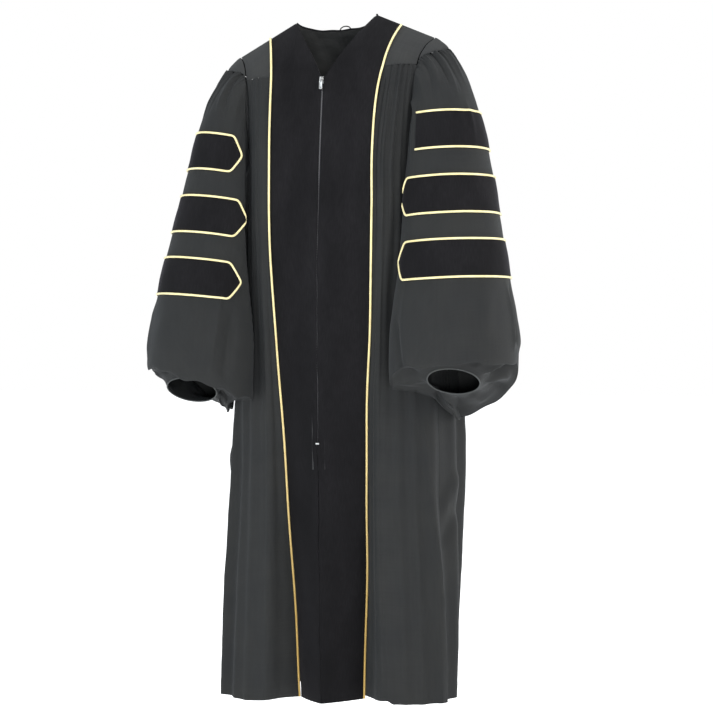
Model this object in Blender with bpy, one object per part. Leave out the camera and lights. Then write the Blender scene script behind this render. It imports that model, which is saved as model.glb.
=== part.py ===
"""A doctoral graduation gown, filled out as if worn: grey cloth body and bell sleeves, black velvet front
panels and sleeve bars, gold piping, and a front zip with a hinged pull tab.

Metres, +Z up. The front faces -Y and the wearer's left is +X. The origin lies midway between the shoulders,
at the height of the shoulder seams' middle. Every cloth piece is a thin wall on one shared surface: columns
run down from a top edge (neckline, yoke seam or armhole) to the hem, through rows of body sections.
"""

import functools
import math
from collections import namedtuple

import bmesh
import bpy
from mathutils import Vector

CLOTH = 0.0015  # wall of the grey cloth
VELVET = 0.002  # wall of the velvet
SEAM = 0.0004  # gap between two pieces that are sewn together
ARMHOLE_GAP = 0.0014  # the sleeve's edge stands this far outside the body's at the armhole
CORD_RADIUS = 0.002  # gold piping and the neck's binding
LOOP_RADIUS = 0.0012  # the hang loop's tape, rolled
LAY_GAP = 0.0007  # gap under what lies on a panel

SHOULDER_SLOPE = 0.0353
JOIN_Z = -0.30  # below this height every column follows the body sections alone
HEM_Z = -1.305
FRONT_YOKE_Z = -0.082
HEM_ROWS = 8  # rows from JOIN_Z to the hem
TOP_ROWS = 4  # rows from a column's top edge to JOIN_Z
PANEL_COLUMNS = 5
PANEL_WIDTH = 0.105  # a panel's width at the chest
OUTLINE_LENGTH = 0.45  # about the length of the outline from the piping to the centre back
FRONT_COLUMNS = 8  # from the piping to the armhole
ARMHOLE_COLUMNS = 6  # from each edge of the armhole to the side seam, in step with the sleeve's columns
BACK_COLUMNS = 11  # from the armhole to the centre back

# Half of the body's outline at each height: the centre front, the velvet panel's edge, the first fold beside
# it, the side, the back quarter and the centre back.
Section = namedtuple(
    "Section",
    "z front edge_x edge_y fold_x fold_y side_x side_y quarter_x quarter_y back",
)
BODY = (
    Section(-0.08, -0.075, 0.109, -0.066, 0.130, -0.062, 0.176, 0.005, 0.150, 0.066, 0.088),
    Section(-0.25, -0.094, 0.105, -0.089, 0.130, -0.084, 0.181, 0.000, 0.162, 0.068, 0.105),
    Section(-0.37, -0.103, 0.105, -0.088, 0.130, -0.085, 0.185, -0.004, 0.172, 0.082, 0.120),
    Section(-0.51, -0.110, 0.100, -0.082, 0.122, -0.082, 0.191, -0.008, 0.186, 0.098, 0.135),
    Section(-0.61, -0.108, 0.096, -0.073, 0.118, -0.078, 0.198, -0.010, 0.198, 0.110, 0.146),
    Section(-0.745, -0.105, 0.087, -0.064, 0.115, -0.076, 0.211, -0.010, 0.213, 0.120, 0.156),
    Section(-0.892, -0.101, 0.083, -0.050, 0.114, -0.074, 0.217, -0.010, 0.210, 0.125, 0.162),
    Section(-1.038, -0.097, 0.078, -0.033, 0.116, -0.073, 0.225, -0.010, 0.201, 0.116, 0.165),
    Section(-1.165, -0.093, 0.0725, -0.024, 0.119, -0.072, 0.229, -0.012, 0.194, 0.108, 0.160),
    Section(HEM_Z, -0.087, 0.0666, -0.020, 0.121, -0.071, 0.231, -0.014, 0.183, 0.100, 0.150),
)
OUTLINE_KNOTS = (0.0, 0.14, 0.42, 0.66, 1.0)  # where the outline passes its named points, panel edge to back
SIDE_SEAM = OUTLINE_KNOTS[2]
PANEL_DRAW = 4.5  # how late a panel's column leaves its section for the shoulder: higher is nearer the top
SKIRT_DRAW = 2.0
PANEL_BULGE = 0.003  # a panel's crown between the zip and its piping

# Soft pleats that hang from the yoke seams: place along the outline, width, depth at the top and at the hem.
Pleat = namedtuple("Pleat", "at width top hem")
PLEATS = (
    Pleat(0.17, 0.018, 0.0045, 0.000),
    Pleat(0.235, 0.018, 0.0040, 0.003),
    Pleat(0.30, 0.020, 0.0035, 0.005),
    Pleat(0.38, 0.028, 0.0000, 0.009),
    Pleat(0.50, 0.028, 0.0000, 0.012),
    Pleat(0.60, 0.026, 0.0040, 0.014),
    Pleat(0.70, 0.024, 0.0070, 0.016),
    Pleat(0.79, 0.024, 0.0060, 0.014),
    Pleat(0.88, 0.024, 0.0080, 0.017),
    Pleat(0.97, 0.022, 0.0050, 0.012),
)

# The neckline and shoulder line, from the foot of the V to the neck point and on to the shoulder's tip.
NECK_FOOT = Vector((0.0, -0.076, -0.098))
NECK_POINT = Vector((0.084, 0.000, 0.030))
PANEL_SHOULDER = Vector((0.137, -0.004, 0.003))
SHOULDER_TIP = Vector((0.203, 0.000, -0.027))
BACK_NECK = Vector((0.0, 0.060, 0.017))
BACK_YOKE_CENTRE = Vector((0.0, 0.092, -0.095))
NECK_SHARE = 0.6  # share of a panel's columns that end on the neckline
SHOULDER_SHARE = 0.55  # share of the back yoke's upper edge that is shoulder seam, before the neck
SHOULDER_OUT = Vector((0.35, -0.18, 1.0))  # the outward way that all pieces share along the shoulder seam
PATCH_INSET = 0.006  # share of a yoke's width left off each side for its seams
YOKE_COLUMNS = 5
BINDING_START = 0.57  # where the neck's binding starts along the back yoke's upper edge
BINDING_STEPS = 7
BINDING_LIFT = Vector((0.0, -0.0006, 0.0029))  # the binding's middle above that edge
LOOP_SPAN = 0.011  # half the hang loop's width
LOOP_RISE = 0.007
LOOP_STEPS = 8
LOOP_FOOT = Vector((0.0, -0.0048, 0.0010))  # its feet, before the binding
BACK_YOKE_COLUMNS = 9  # from the armhole to the centre back
BACK_YOKE_CROWN = Vector((0.0, 0.016, 0.012))  # how far the back yoke rounds out between its seams

# The armhole, by the angle round the sleeve: 0 at the top, 90 at the back, 180 under the arm, 270 in front.
Armhole = namedtuple("Armhole", "angle x y z")
ARMHOLE = (
    Armhole(0, 0.203, 0.000, -0.027),
    Armhole(45, 0.190, 0.029, -0.045),
    Armhole(90, 0.177, 0.045, -0.084),
    Armhole(135, 0.180, 0.034, -0.170),
    Armhole(180, 0.180, 0.003, -0.250),
    Armhole(225, 0.171, -0.045, -0.170),
    Armhole(270, 0.177, -0.034, -0.082),
    Armhole(315, 0.188, -0.018, -0.046),
    Armhole(360, 0.203, 0.000, -0.027),
)
FRONT_ARMHOLE = 0.30  # where the armhole's front edge starts, along the outline
BACK_ARMHOLE = 0.54

# The sleeve's sections: centre, half width across and fore-and-aft, and how far its inner side leans forward.
Tube = namedtuple("Tube", "z x y half_x half_y lean")
SLEEVE = (
    Tube(-0.02, 0.196, 0.000, 0.026, 0.036, 0.000),
    Tube(-0.06, 0.205, 0.000, 0.049, 0.050, 0.000),
    Tube(-0.10, 0.212, 0.000, 0.057, 0.060, 0.000),
    Tube(-0.15, 0.220, -0.001, 0.064, 0.068, 0.000),
    Tube(-0.24, 0.229, -0.008, 0.077, 0.080, 0.050),
    Tube(-0.34, 0.238, -0.020, 0.089, 0.090, 0.060),
    Tube(-0.46, 0.251, -0.040, 0.1005, 0.100, 0.060),
    Tube(-0.54, 0.254, -0.050, 0.111, 0.108, 0.080),
    Tube(-0.62, 0.258, -0.058, 0.119, 0.114, 0.110),
    Tube(-0.70, 0.259, -0.060, 0.117, 0.112, 0.110),
    Tube(-0.78, 0.259, -0.056, 0.104, 0.100, 0.110),
)
SLEEVE_COLUMNS = 24
CROWN_DRAW = 4.0  # how soon a column leaves the armhole for the tube, over the shoulder
UNDERARM_DRAW = 9.0  # and how much sooner under the arm, where the armhole runs down beside it
RIGHT_SLOPE = 0.030
BAR_HEIGHT = 0.070
BAR_TOPS = (-0.181, -0.306, -0.429)
SLEEVE_TOP_ROWS = (-0.050, -0.085, -0.130)
SLEEVE_LOW_ROWS = (-0.545, -0.590, -0.630)
SLEEVE_JOIN_Z = -0.300  # below this the sleeve's columns are level
MOUTH_Z = -0.655
# How far the mouth's edge hangs below its front, by the same angle.
Mouth = namedtuple("Mouth", "angle left right")
MOUTH = (
    Mouth(0, 0.008, -0.020),
    Mouth(45, 0.060, 0.020),
    Mouth(90, 0.105, 0.072),
    Mouth(135, 0.103, 0.084),
    Mouth(180, 0.050, 0.062),
    Mouth(225, 0.014, 0.042),
    Mouth(270, 0.007, 0.010),
    Mouth(315, 0.007, -0.008),
    Mouth(360, 0.008, -0.020),
)
BODY_CLEARANCE = 0.010  # a sleeve hangs at least this far outside the body
BODY_POINTS = 60  # points of the outline that the clearance is measured from
CAP_LENGTH = 0.036  # the smooth crescent between the armhole and the fluting, at the shoulder's top
CAP_ROWS = 2
CAP_REACH = 82  # degrees each way from the top where the crescent runs out
# The angle of each bar's front end: the left sleeve's first bar runs into the fold at the armhole.
BAR_FRONT = {1: (240, 210, 210), -1: (225, 210, 210)}
BAR_SLACK = 0.0008  # between a bar's edge and its cord
BAR_BACK = 90
POINT_LIFT = 0.0014  # a bar's point crosses the sleeve's facets, so it lies a little higher

WRIST_HALF = Vector((0.050, 0.042, 0.0))
WRIST_CENTRE = Vector((0.268, -0.095, -0.692))
WRIST_TILT = 0.024  # half the height between the wrist opening's front and back
WRIST_INSET = 0.010  # how far inside the mouth's edge the turned-in part starts
WRIST_ROWS = 2
WRIST_CROWN = 0.010  # how far it rounds up between the mouth and the opening

ZIP_HALF_GAP = 0.0016  # half the slot between the panels, on a flat front
TAPE_SHARE = 0.13  # how far the zip's tape reaches across each panel
TAPE = 0.001
TAPE_TOP = -0.138
TAPE_FOOT = -0.853
TAPE_SLACK = 0.0018  # between the tape and the back of the panels
ZIP_STOP_Z = -0.803
PULL_LENGTH = 0.020
PULL_AXIS = Vector((0.0, -0.0850, -0.101))
PULL_LEAN = math.radians(6.0)  # the cloth below the neck comes forward by this much

Finish = namedtuple("Finish", "name colour roughness metallic")
GREY = Finish("grey_cloth", (0.060, 0.062, 0.066), 0.75, 0.0)
BLACK = Finish("black_velvet", (0.012, 0.012, 0.014), 0.9, 0.0)
GOLD = Finish("gold_piping", (0.60, 0.42, 0.14), 0.45, 0.0)
METAL = Finish("zip_metal", (0.70, 0.70, 0.70), 0.35, 1.0)
TAPE_BLACK = Finish("zip_tape", (0.02, 0.02, 0.022), 0.8, 0.0)

UP = Vector((0.0, 0.0, 1.0))
ROUND = 360


# ---------------------------------------------------------------- interpolation


def cubic(knots, values, at):
    """A smooth curve through values at rising knots, each value a number or a Vector."""
    last = len(knots) - 1
    at = min(max(at, knots[0]), knots[last])
    i = max(k for k in range(last) if knots[k] <= at)
    span = knots[i + 1] - knots[i]

    def slope(k):
        low = max(k - 1, 0)
        high = min(k + 1, last)
        return (values[high] - values[low]) * (span / (knots[high] - knots[low]))

    t = (at - knots[i]) / span
    step = values[i + 1] - values[i]
    start = slope(i)
    end = slope(i + 1)
    bend = (start + end - step * 2) * t + (step * 3 - start * 2 - end)
    return values[i] + (bend * t + start) * t


def row_at(table, at):
    """The table's row at a value of its first column, every other column smoothed between rows."""
    rows = sorted(table, key=lambda row: row[0])
    knots = [row[0] for row in rows]
    values = [cubic(knots, [row[k] for row in rows], at) for k in range(1, len(rows[0]))]
    return type(rows[0])(at, *values)


def ease(t):
    t = min(max(t, 0.0), 1.0)
    return t * t * (3 - 2 * t)


# ---------------------------------------------------------------- the body's surface


def panel_section(z, t):
    """A point of the velvet panel's section: t 0 at the zip, 1 at the piping."""
    row = row_at(BODY, z)
    centre = Vector((0.0, row.front, z))
    edge = Vector((row.edge_x, row.edge_y, z))
    across = edge - centre
    out = Vector((across.y, -across.x, 0.0)).normalized()
    return centre + across * t + out * (PANEL_BULGE * math.sin(math.pi * t))


def pleat_depth(t, z):
    """How far the pleats push the outline out at a place, from the yoke seam to the hem."""
    down = (FRONT_YOKE_Z - z) / (FRONT_YOKE_Z - HEM_Z)
    depth = 0.0
    for pleat in PLEATS:
        near = (t - pleat.at) / pleat.width
        size = pleat.top + (pleat.hem - pleat.top) * ease(down)
        depth += size * math.exp(-near * near)
    return depth


def outline_point(z, t):
    """The smooth outline without pleats: t 0 at the piping, 1 at the centre back."""
    row = row_at(BODY, z)
    named = [
        Vector((row.edge_x, row.edge_y, z)),
        Vector((row.fold_x, row.fold_y, z)),
        Vector((row.side_x, row.side_y, z)),
        Vector((row.quarter_x, row.quarter_y, z)),
        Vector((0.0, row.back, z)),
    ]
    # The far side's quarter point keeps the back level at its centre.
    named.append(Vector((-row.quarter_x, row.quarter_y, z)))
    knots = OUTLINE_KNOTS + (2 * OUTLINE_KNOTS[4] - OUTLINE_KNOTS[3],)
    return cubic(knots, named, t)


def skirt_section(z, t):
    """A point of the grey body's section with its pleats."""
    step = 0.004
    here = outline_point(z, t)
    along = outline_point(z, min(t + step, 1.0)) - outline_point(z, max(t - step, 0.0))
    out = Vector((along.y, -along.x, 0.0)).normalized()
    fade = ease(t / 0.05)
    return here + out * (pleat_depth(t, z) * fade)


def armhole_point(angle):
    """The armhole's edge at an angle round the sleeve."""
    row = row_at(ARMHOLE, angle % ROUND)
    return Vector((row.x, row.y, row.z))


def panel_top(t):
    """Where a panel's column ends: on the neckline, then on the shoulder line."""
    if t <= NECK_SHARE:
        share = t / NECK_SHARE
        bow = Vector((-0.004, -0.006, 0.0)) * math.sin(math.pi * share)
        return NECK_FOOT.lerp(NECK_POINT, share) + bow
    return NECK_POINT.lerp(PANEL_SHOULDER, (t - NECK_SHARE) / (1 - NECK_SHARE))


def front_yoke_seam(t):
    """The front yoke's seam, from the piping to the armhole, at a place along the outline."""
    share = t / FRONT_ARMHOLE
    inner = panel_edge(FRONT_YOKE_Z)
    arch = Vector((0.0, -0.006, 0.002)) * math.sin(math.pi * share)
    return inner.lerp(armhole_point(270), share) + arch


def back_yoke_seam(t):
    """The back yoke's seam, from the armhole to the centre back."""
    share = (t - BACK_ARMHOLE) / (1 - BACK_ARMHOLE)
    bow = Vector((0.0, 0.030, 0.0)) * math.sin(0.5 * math.pi * share) * (1 - share)
    return armhole_point(90).lerp(BACK_YOKE_CENTRE, share) + bow


def skirt_top(t):
    """Where a grey column ends: on a yoke seam or on the armhole."""
    if t <= FRONT_ARMHOLE:
        return front_yoke_seam(t)
    if t >= BACK_ARMHOLE:
        return back_yoke_seam(t)
    share = (t - FRONT_ARMHOLE) / (BACK_ARMHOLE - FRONT_ARMHOLE)
    return armhole_point(270 - 180 * share)


def hang(section, top, t, z):
    """A column's point at a height: its section, drawn to its top edge above JOIN_Z."""
    here = section(z, t)
    if z <= JOIN_Z:
        return here
    share = (z - JOIN_Z) / (top.z - JOIN_Z)
    pull = top - section(top.z, t)
    pull.z = 0.0
    return here + pull * share ** (PANEL_DRAW if section is panel_section else SKIRT_DRAW)


def column_heights(top_z):
    upper = [top_z + (JOIN_Z - top_z) * k / TOP_ROWS for k in range(TOP_ROWS)]
    lower = spread(JOIN_Z, HEM_Z, HEM_ROWS)
    return upper + lower


def column(section, top, t):
    """All the points of one column, top edge to hem."""
    return [hang(section, top, t, z) for z in column_heights(top.z)]


def panel_edge(z):
    """The panel's outer edge, which the piping follows, at a height."""
    return hang(panel_section, panel_top(1.0), 1.0, z)


# ---------------------------------------------------------------- the sleeve's surface


@functools.cache
def body_outline(z):
    """The grey body's outline at a height, as points; above the armhole's foot it is open at the side."""
    places = spread(0.0, 1.0, BODY_POINTS)
    tops = [(t, skirt_top(t)) for t in places]
    return [hang(skirt_section, top, t, z) for t, top in tops if top.z >= z]


def body_reach(z, y):
    """How far the body reaches sideways at a height, near y."""
    near = [p.x for p in body_outline(z) if abs(p.y - y) <= 1.4 * BODY_CLEARANCE]
    return max(near, default=0.0)


def tube_point(z, angle):
    """A point of the sleeve's tube at a height."""
    row = row_at(SLEEVE, z)
    turn = math.radians(angle)
    x = row.half_x * math.cos(turn)
    y = row.half_y * math.sin(turn)
    y += row.lean * x
    return Vector((row.x + x, row.y + y, z))


def cleared(point, share):
    """The point moved out of the body, by a clearance that grows from the armhole down."""
    clearance = ARMHOLE_GAP + (BODY_CLEARANCE - ARMHOLE_GAP) * ease(share * 2)
    moved = point.copy()
    moved.x = max(point.x, body_reach(point.z, point.y) + clearance)
    return moved


def sleeve_levels():
    """The sleeve's rows at its outer side, below the armhole: every bar has a row at its top, middle and foot."""
    levels = list(SLEEVE_TOP_ROWS)
    for top in BAR_TOPS:
        levels += [top, top - BAR_HEIGHT / 2, top - BAR_HEIGHT]
    return levels + list(SLEEVE_LOW_ROWS)


def row_droop(side, angle, level):
    """How far a row hangs below level: the wearer's right sleeve is turned a little, so its rows slope."""
    if side > 0 or level < BAR_TOPS[-1] - BAR_HEIGHT:
        return 0.0
    return RIGHT_SLOPE * (0.5 - 0.5 * math.cos(math.radians(angle + 30)))


def level_at(level, index, top_z):
    """A row's height on a column that starts at top_z: rows above that start are squeezed under it."""
    if level <= SLEEVE_JOIN_Z:
        return level
    share = (top_z - level) / (top_z - SLEEVE_JOIN_Z)
    return top_z + (SLEEVE_JOIN_Z - top_z) * max(share, 0.045 * (index + 1))


def sleeve_column(side, angle):
    """One column of the sleeve, from the armhole to the mouth."""
    top = armhole_point(angle) + Vector((ARMHOLE_GAP, 0.0, 0.0))
    draw = CROWN_DRAW + UNDERARM_DRAW * (0.5 - 0.5 * math.cos(math.radians(angle)))
    points = [top]
    for index, level in enumerate(sleeve_levels()):
        z = level_at(level - row_droop(side, angle, level), index, top.z)
        share = min((top.z - z) / (top.z - SLEEVE_JOIN_Z), 1.0)
        pull = top - tube_point(top.z, angle)
        pull.z = 0.0
        points.append(cleared(tube_point(z, angle) + pull * (1 - share) ** draw, share))
    row = row_at(MOUTH, angle % ROUND)
    drop = row.left if side > 0 else row.right
    points.append(cleared(tube_point(MOUTH_Z - drop, angle), 1.0))
    return points


def cap_share(angle):
    """How much of the crescent's length a column has, 1 at the shoulder's top."""
    from_top = min(angle % ROUND, ROUND - angle % ROUND)
    if from_top >= CAP_REACH:
        return 0.0
    return math.cos(0.5 * math.pi * from_top / CAP_REACH)


def along(points, distance):
    """The point at a distance along a run of points."""
    for a, b in zip(points, points[1:]):
        step = (b - a).length
        if distance <= step:
            return a.lerp(b, distance / step)
        distance -= step
    return points[-1]


def split_column(points, distance):
    """A column's lower part, its first point moved down to a distance from the top."""
    start = along(points, distance)
    kept = [start]
    travelled = 0.0
    for a, b in zip(points, points[1:]):
        travelled += (b - a).length
        kept.append(b if travelled > distance + 0.004 else along(points, distance + 0.004))
    return kept


# ---------------------------------------------------------------- making meshes


def material(finish):
    made = bpy.data.materials.get(finish.name)
    if made is None:
        made = bpy.data.materials.new(finish.name)
        made.use_nodes = True
        shader = made.node_tree.nodes["Principled BSDF"]
        shader.inputs["Base Color"].default_value = (*finish.colour, 1.0)
        shader.inputs["Roughness"].default_value = finish.roughness
        shader.inputs["Metallic"].default_value = finish.metallic
    return made


def lean(point):
    """The gown hangs a little lower on the wearer's right."""
    return Vector((point.x, point.y, point.z + SHOULDER_SLOPE * point.x))


def place(name, data, finish):
    """Links one object and gives it a material of its own finish."""
    obj = bpy.data.objects.new(name, data)
    bpy.context.scene.collection.objects.link(obj)
    data.materials.append(material(finish))
    return obj


def finish_mesh(name, work, finish):
    bmesh.ops.recalc_face_normals(work, faces=work.faces)
    data = bpy.data.meshes.new(name)
    work.to_mesh(data)
    work.free()
    obj = place(name, data, finish)
    data.shade_smooth()
    data.set_sharp_from_angle(angle=math.radians(40))
    return obj


def grid_normals(columns, closed):
    """Outward normals of a grid of points: columns run down, and follow each other anticlockwise from above."""
    count = len(columns)
    made = []
    for i, points in enumerate(columns):
        before = columns[i - 1] if i or closed else points
        after = columns[(i + 1) % count] if i < count - 1 or closed else points
        line = []
        for j in range(len(points)):
            across = after[j] - before[j]
            down = points[min(j + 1, len(points) - 1)] - points[max(j - 1, 0)]
            line.append(down.cross(across).normalized())
        made.append(line)
    return made


def wall_of(name, points, outs, thickness, finish):
    """A closed wall under a grid of points: they are its outer face, and outs point out of the cloth.

    A grid whose last column repeats its first closes into a tube.
    """
    total = len(points)
    work = bmesh.new()
    inward = work.verts.layers.float_vector.new("inward")
    bmesh.ops.create_grid(work, x_segments=total - 1, y_segments=len(points[0]) - 1, size=1.0)
    work.verts.ensure_lookup_table()
    for index, vertex in enumerate(reversed(work.verts[:])):
        j, i = divmod(index, total)
        vertex.co = points[i][j]
        vertex[inward] = outs[i][j] * -thickness
    bmesh.ops.remove_doubles(work, verts=work.verts, dist=1e-6)
    made = bmesh.ops.extrude_face_region(work, geom=work.faces[:], use_keep_orig=True)
    for vertex in made["geom"]:
        if isinstance(vertex, bmesh.types.BMVert):
            vertex.co += vertex[inward]
    for vertex in work.verts:
        vertex.co = lean(vertex.co)
    return finish_mesh(name, work, finish)


def wall(name, columns, thickness, finish, closed=False, edge_normals=None):
    """A cloth wall with its own normals, but for edge_normals: (column, row) to the normal used there."""
    normals = grid_normals(columns, closed)
    for (i, j), normal in (edge_normals or {}).items():
        normals[i][j] = normal.normalized()
    if closed:
        columns = [*columns, columns[0]]
        normals = [*normals, normals[0]]
    return wall_of(name, columns, normals, thickness, finish)


def cord(name, points, finish, radius, closed=False, sides=0):
    """A round cord along points."""
    data = bpy.data.curves.new(name, "CURVE")
    data.dimensions = "3D"
    data.bevel_depth = radius
    data.bevel_resolution = sides
    data.use_fill_caps = not closed
    spline = data.splines.new("POLY")
    spline.points.add(len(points) - 1)
    for vertex, point in zip(spline.points, points):
        vertex.co = (*lean(point), 1.0)
    spline.use_cyclic_u = closed
    return place(name, data, finish)


def side_name(name, side):
    return f"{name}_{'left' if side > 0 else 'right'}"


def mirrored(columns, side):
    """Points for one side: on the wearer's right x changes sign and the order turns round."""
    if side > 0:
        return columns
    return [[Vector((-p.x, p.y, p.z)) for p in line] for line in reversed(columns)]


# ---------------------------------------------------------------- the garment's pieces


def zip_start(z):
    """The share of a panel's width that the zip's slot takes, wider where the front is turned more."""
    row = row_at(BODY, z)
    width = math.hypot(row.edge_x, row.edge_y - row.front)
    turn = (row.edge_y - row.front) / max(row.edge_x, 1e-6)
    return (ZIP_HALF_GAP + VELVET * max(turn, 0.0)) / width


def outline_normal(point):
    """The level outward normal of the body's outline beside a point of its left half."""
    places = spread(0.0, 1.0, BODY_POINTS)
    t = min(places, key=lambda place: (outline_point(point.z, place) - point).length)
    run = outline_point(point.z, min(t + 0.02, 1.0)) - outline_point(point.z, max(t - 0.02, 0.0))
    return Vector((run.y, -run.x, 0.0)).normalized()


def armhole_normals(columns, first):
    """Normals beside the armhole, where the columns run together: those of the outline there."""
    chosen = range(first, first + ARMHOLE_COLUMNS + 1)
    return {(i, j): outline_normal(columns[i][j]) for i in chosen for j in range(TOP_ROWS)}


def turned(normals, last):
    """The same normals for the other side, whose columns run the other way."""
    return {(last - i, j): Vector((-n.x, n.y, n.z)) for (i, j), n in normals.items()}


def trimmed(points, start, end):
    """A column with a little taken off its ends, for the gap at a seam."""
    top = points[0] + (points[1] - points[0]).normalized() * start
    foot = points[-1] + (points[-2] - points[-1]).normalized() * end
    return [top, *points[1:-1], foot]


def panel_columns():
    columns = []
    for k in range(PANEL_COLUMNS + 1):
        share = k / PANEL_COLUMNS
        heights = column_heights(panel_top(share).z)
        points = []
        for z in heights:
            low = zip_start(z)
            high = 1.0 - SEAM / PANEL_WIDTH
            t = low + (high - low) * share
            points.append(hang(panel_section, panel_top(t), t, min(z, panel_top(t).z)))
        columns.append(trimmed(points, SEAM, 0.0))
    return columns


def build_panel(side):
    columns = panel_columns()
    shared = {}
    first_shoulder = math.ceil(NECK_SHARE * PANEL_COLUMNS)
    for k in range(first_shoulder, PANEL_COLUMNS + 1):
        shared[(k, 0)] = SHOULDER_OUT
    lines = mirrored(columns, side)
    if side < 0:
        shared = turned(shared, PANEL_COLUMNS)
    return wall(side_name("panel", side), lines, VELVET, BLACK, edge_normals=shared)


def spread(start, end, count):
    """Evenly spaced places, both ends among them."""
    return [start + (end - start) * k / count for k in range(count + 1)]


def skirt_columns(places):
    """Columns of the grey body at places along its outline."""
    return [trimmed(column(skirt_section, skirt_top(t), t), SEAM, 0.0) for t in places]


def build_front(side):
    """A grey front, from the piping to the side seam."""
    seam = SEAM / OUTLINE_LENGTH
    places = spread(seam, FRONT_ARMHOLE, FRONT_COLUMNS)
    places += spread(FRONT_ARMHOLE, SIDE_SEAM, ARMHOLE_COLUMNS)[1:]
    places[-1] -= seam
    columns = skirt_columns(places)
    normals = armhole_normals(columns, FRONT_COLUMNS)
    if side < 0:
        normals = turned(normals, len(columns) - 1)
    lines = mirrored(columns, side)
    return wall(side_name("front", side), lines, CLOTH, GREY, edge_normals=normals)


def build_back():
    seam = SEAM / OUTLINE_LENGTH
    places = spread(SIDE_SEAM, BACK_ARMHOLE, ARMHOLE_COLUMNS)
    places += spread(BACK_ARMHOLE, 1.0, BACK_COLUMNS)[1:]
    places[0] += seam
    half = skirt_columns(places)
    other = mirrored(half, -1)
    normals = armhole_normals(half, 0)
    normals |= turned(normals, 2 * len(half) - 2)
    return wall("back", half + other[1:], CLOTH, GREY, edge_normals=normals)


def coons(bottom, top, left, right, u, v):
    """A patch between four edges, each a function of 0 to 1."""
    ruled_v = bottom(u).lerp(top(u), v)
    ruled_u = left(v).lerp(right(v), u)
    low = bottom(0.0).lerp(bottom(1.0), u)
    high = top(0.0).lerp(top(1.0), u)
    return ruled_v + ruled_u - low.lerp(high, v)


def build_yoke(side):
    """A front yoke: piping, shoulder line, armhole and yoke seam are its four edges."""

    def seam_edge(u):
        return front_yoke_seam(u * FRONT_ARMHOLE)

    def shoulder_edge(u):
        return PANEL_SHOULDER.lerp(SHOULDER_TIP, u)

    def piping_edge(v):
        return panel_edge(FRONT_YOKE_Z + (PANEL_SHOULDER.z - FRONT_YOKE_Z) * v)

    def armhole_edge(v):
        return armhole_point(270 + 90 * v)

    edges = (seam_edge, shoulder_edge, piping_edge, armhole_edge)
    columns = []
    for u in spread(PATCH_INSET, 1.0 - PATCH_INSET, YOKE_COLUMNS):
        line = [coons(*edges, u, v) for v in spread(1.0, 0.0, ARMHOLE_COLUMNS)]
        columns.append(trimmed(line, SEAM, 0.0))
    shared = {(i, 0): SHOULDER_OUT for i in range(YOKE_COLUMNS + 1)}
    if side < 0:
        shared = turned(shared, YOKE_COLUMNS)
    lines = mirrored(columns, side)
    return wall(side_name("yoke", side), lines, CLOTH, GREY, edge_normals=shared)


def back_yoke_top(share):
    """The back yoke's upper edge: shoulder tip, neck point, then the back of the neck."""
    if share <= SHOULDER_SHARE:
        return SHOULDER_TIP.lerp(NECK_POINT, share / SHOULDER_SHARE)
    turn = 0.5 * math.pi * (share - SHOULDER_SHARE) / (1 - SHOULDER_SHARE)
    x = NECK_POINT.x * math.cos(turn)
    y = BACK_NECK.y * math.sin(turn)
    z = BACK_NECK.z + (NECK_POINT.z - BACK_NECK.z) * (1 - math.sin(turn)) ** 1.5
    return Vector((x, y, z))


def back_yoke_column(share):
    """One column of the back yoke, share 0 at the armhole and 1 at the centre back."""
    top = back_yoke_top(share)
    foot = back_yoke_seam(BACK_ARMHOLE + (1 - BACK_ARMHOLE) * share)
    arm = (1 - share) ** 3
    line = []
    for v in spread(0.0, 1.0, ARMHOLE_COLUMNS):
        edge = armhole_point(90 * v) - SHOULDER_TIP.lerp(armhole_point(90), v)
        crown = BACK_YOKE_CROWN * math.sin(math.pi * v)
        line.append(top.lerp(foot, v) + edge * arm + crown * (1 - arm))
    return trimmed(line, 1.5 * SEAM, 0.0)


def build_back_yoke():
    shares = spread(PATCH_INSET, 1.0, BACK_YOKE_COLUMNS)
    half = [back_yoke_column(share) for share in shares]
    shared = {(i, 0): SHOULDER_OUT for i, share in enumerate(shares) if share < SHOULDER_SHARE}
    shared |= turned(shared, 2 * BACK_YOKE_COLUMNS)
    other = mirrored(half, -1)
    return wall("yoke_back", half + other[1:], CLOTH, GREY, edge_normals=shared)


def sleeve_columns(side):
    step = ROUND / SLEEVE_COLUMNS
    return [sleeve_column(side, step * k) for k in range(SLEEVE_COLUMNS)]


def build_cap(side, columns):
    """The crescent over the shoulder, between the armhole and the fluting."""
    step = ROUND / SLEEVE_COLUMNS
    reach = int((CAP_REACH - 1) // step)
    lines = []
    for k in range(-reach, reach + 1):
        points = columns[k]
        length = CAP_LENGTH * cap_share(step * k)
        first = SEAM
        last = max(length - SEAM, first + 0.002)
        lines.append([along(points, distance) for distance in spread(first, last, CAP_ROWS)])
    return wall(side_name("cap", side), mirrored(lines, side), CLOTH, GREY)


def build_sleeve(side, columns):
    """The bell sleeve, from the fluting and the armhole to the mouth."""
    step = ROUND / SLEEVE_COLUMNS
    lines = []
    for k, points in enumerate(columns):
        length = CAP_LENGTH * cap_share(step * k)
        lines.append(split_column(points, max(length, SEAM)))
    return wall(side_name("sleeve", side), mirrored(lines, side), CLOTH, GREY, closed=True)


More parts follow.
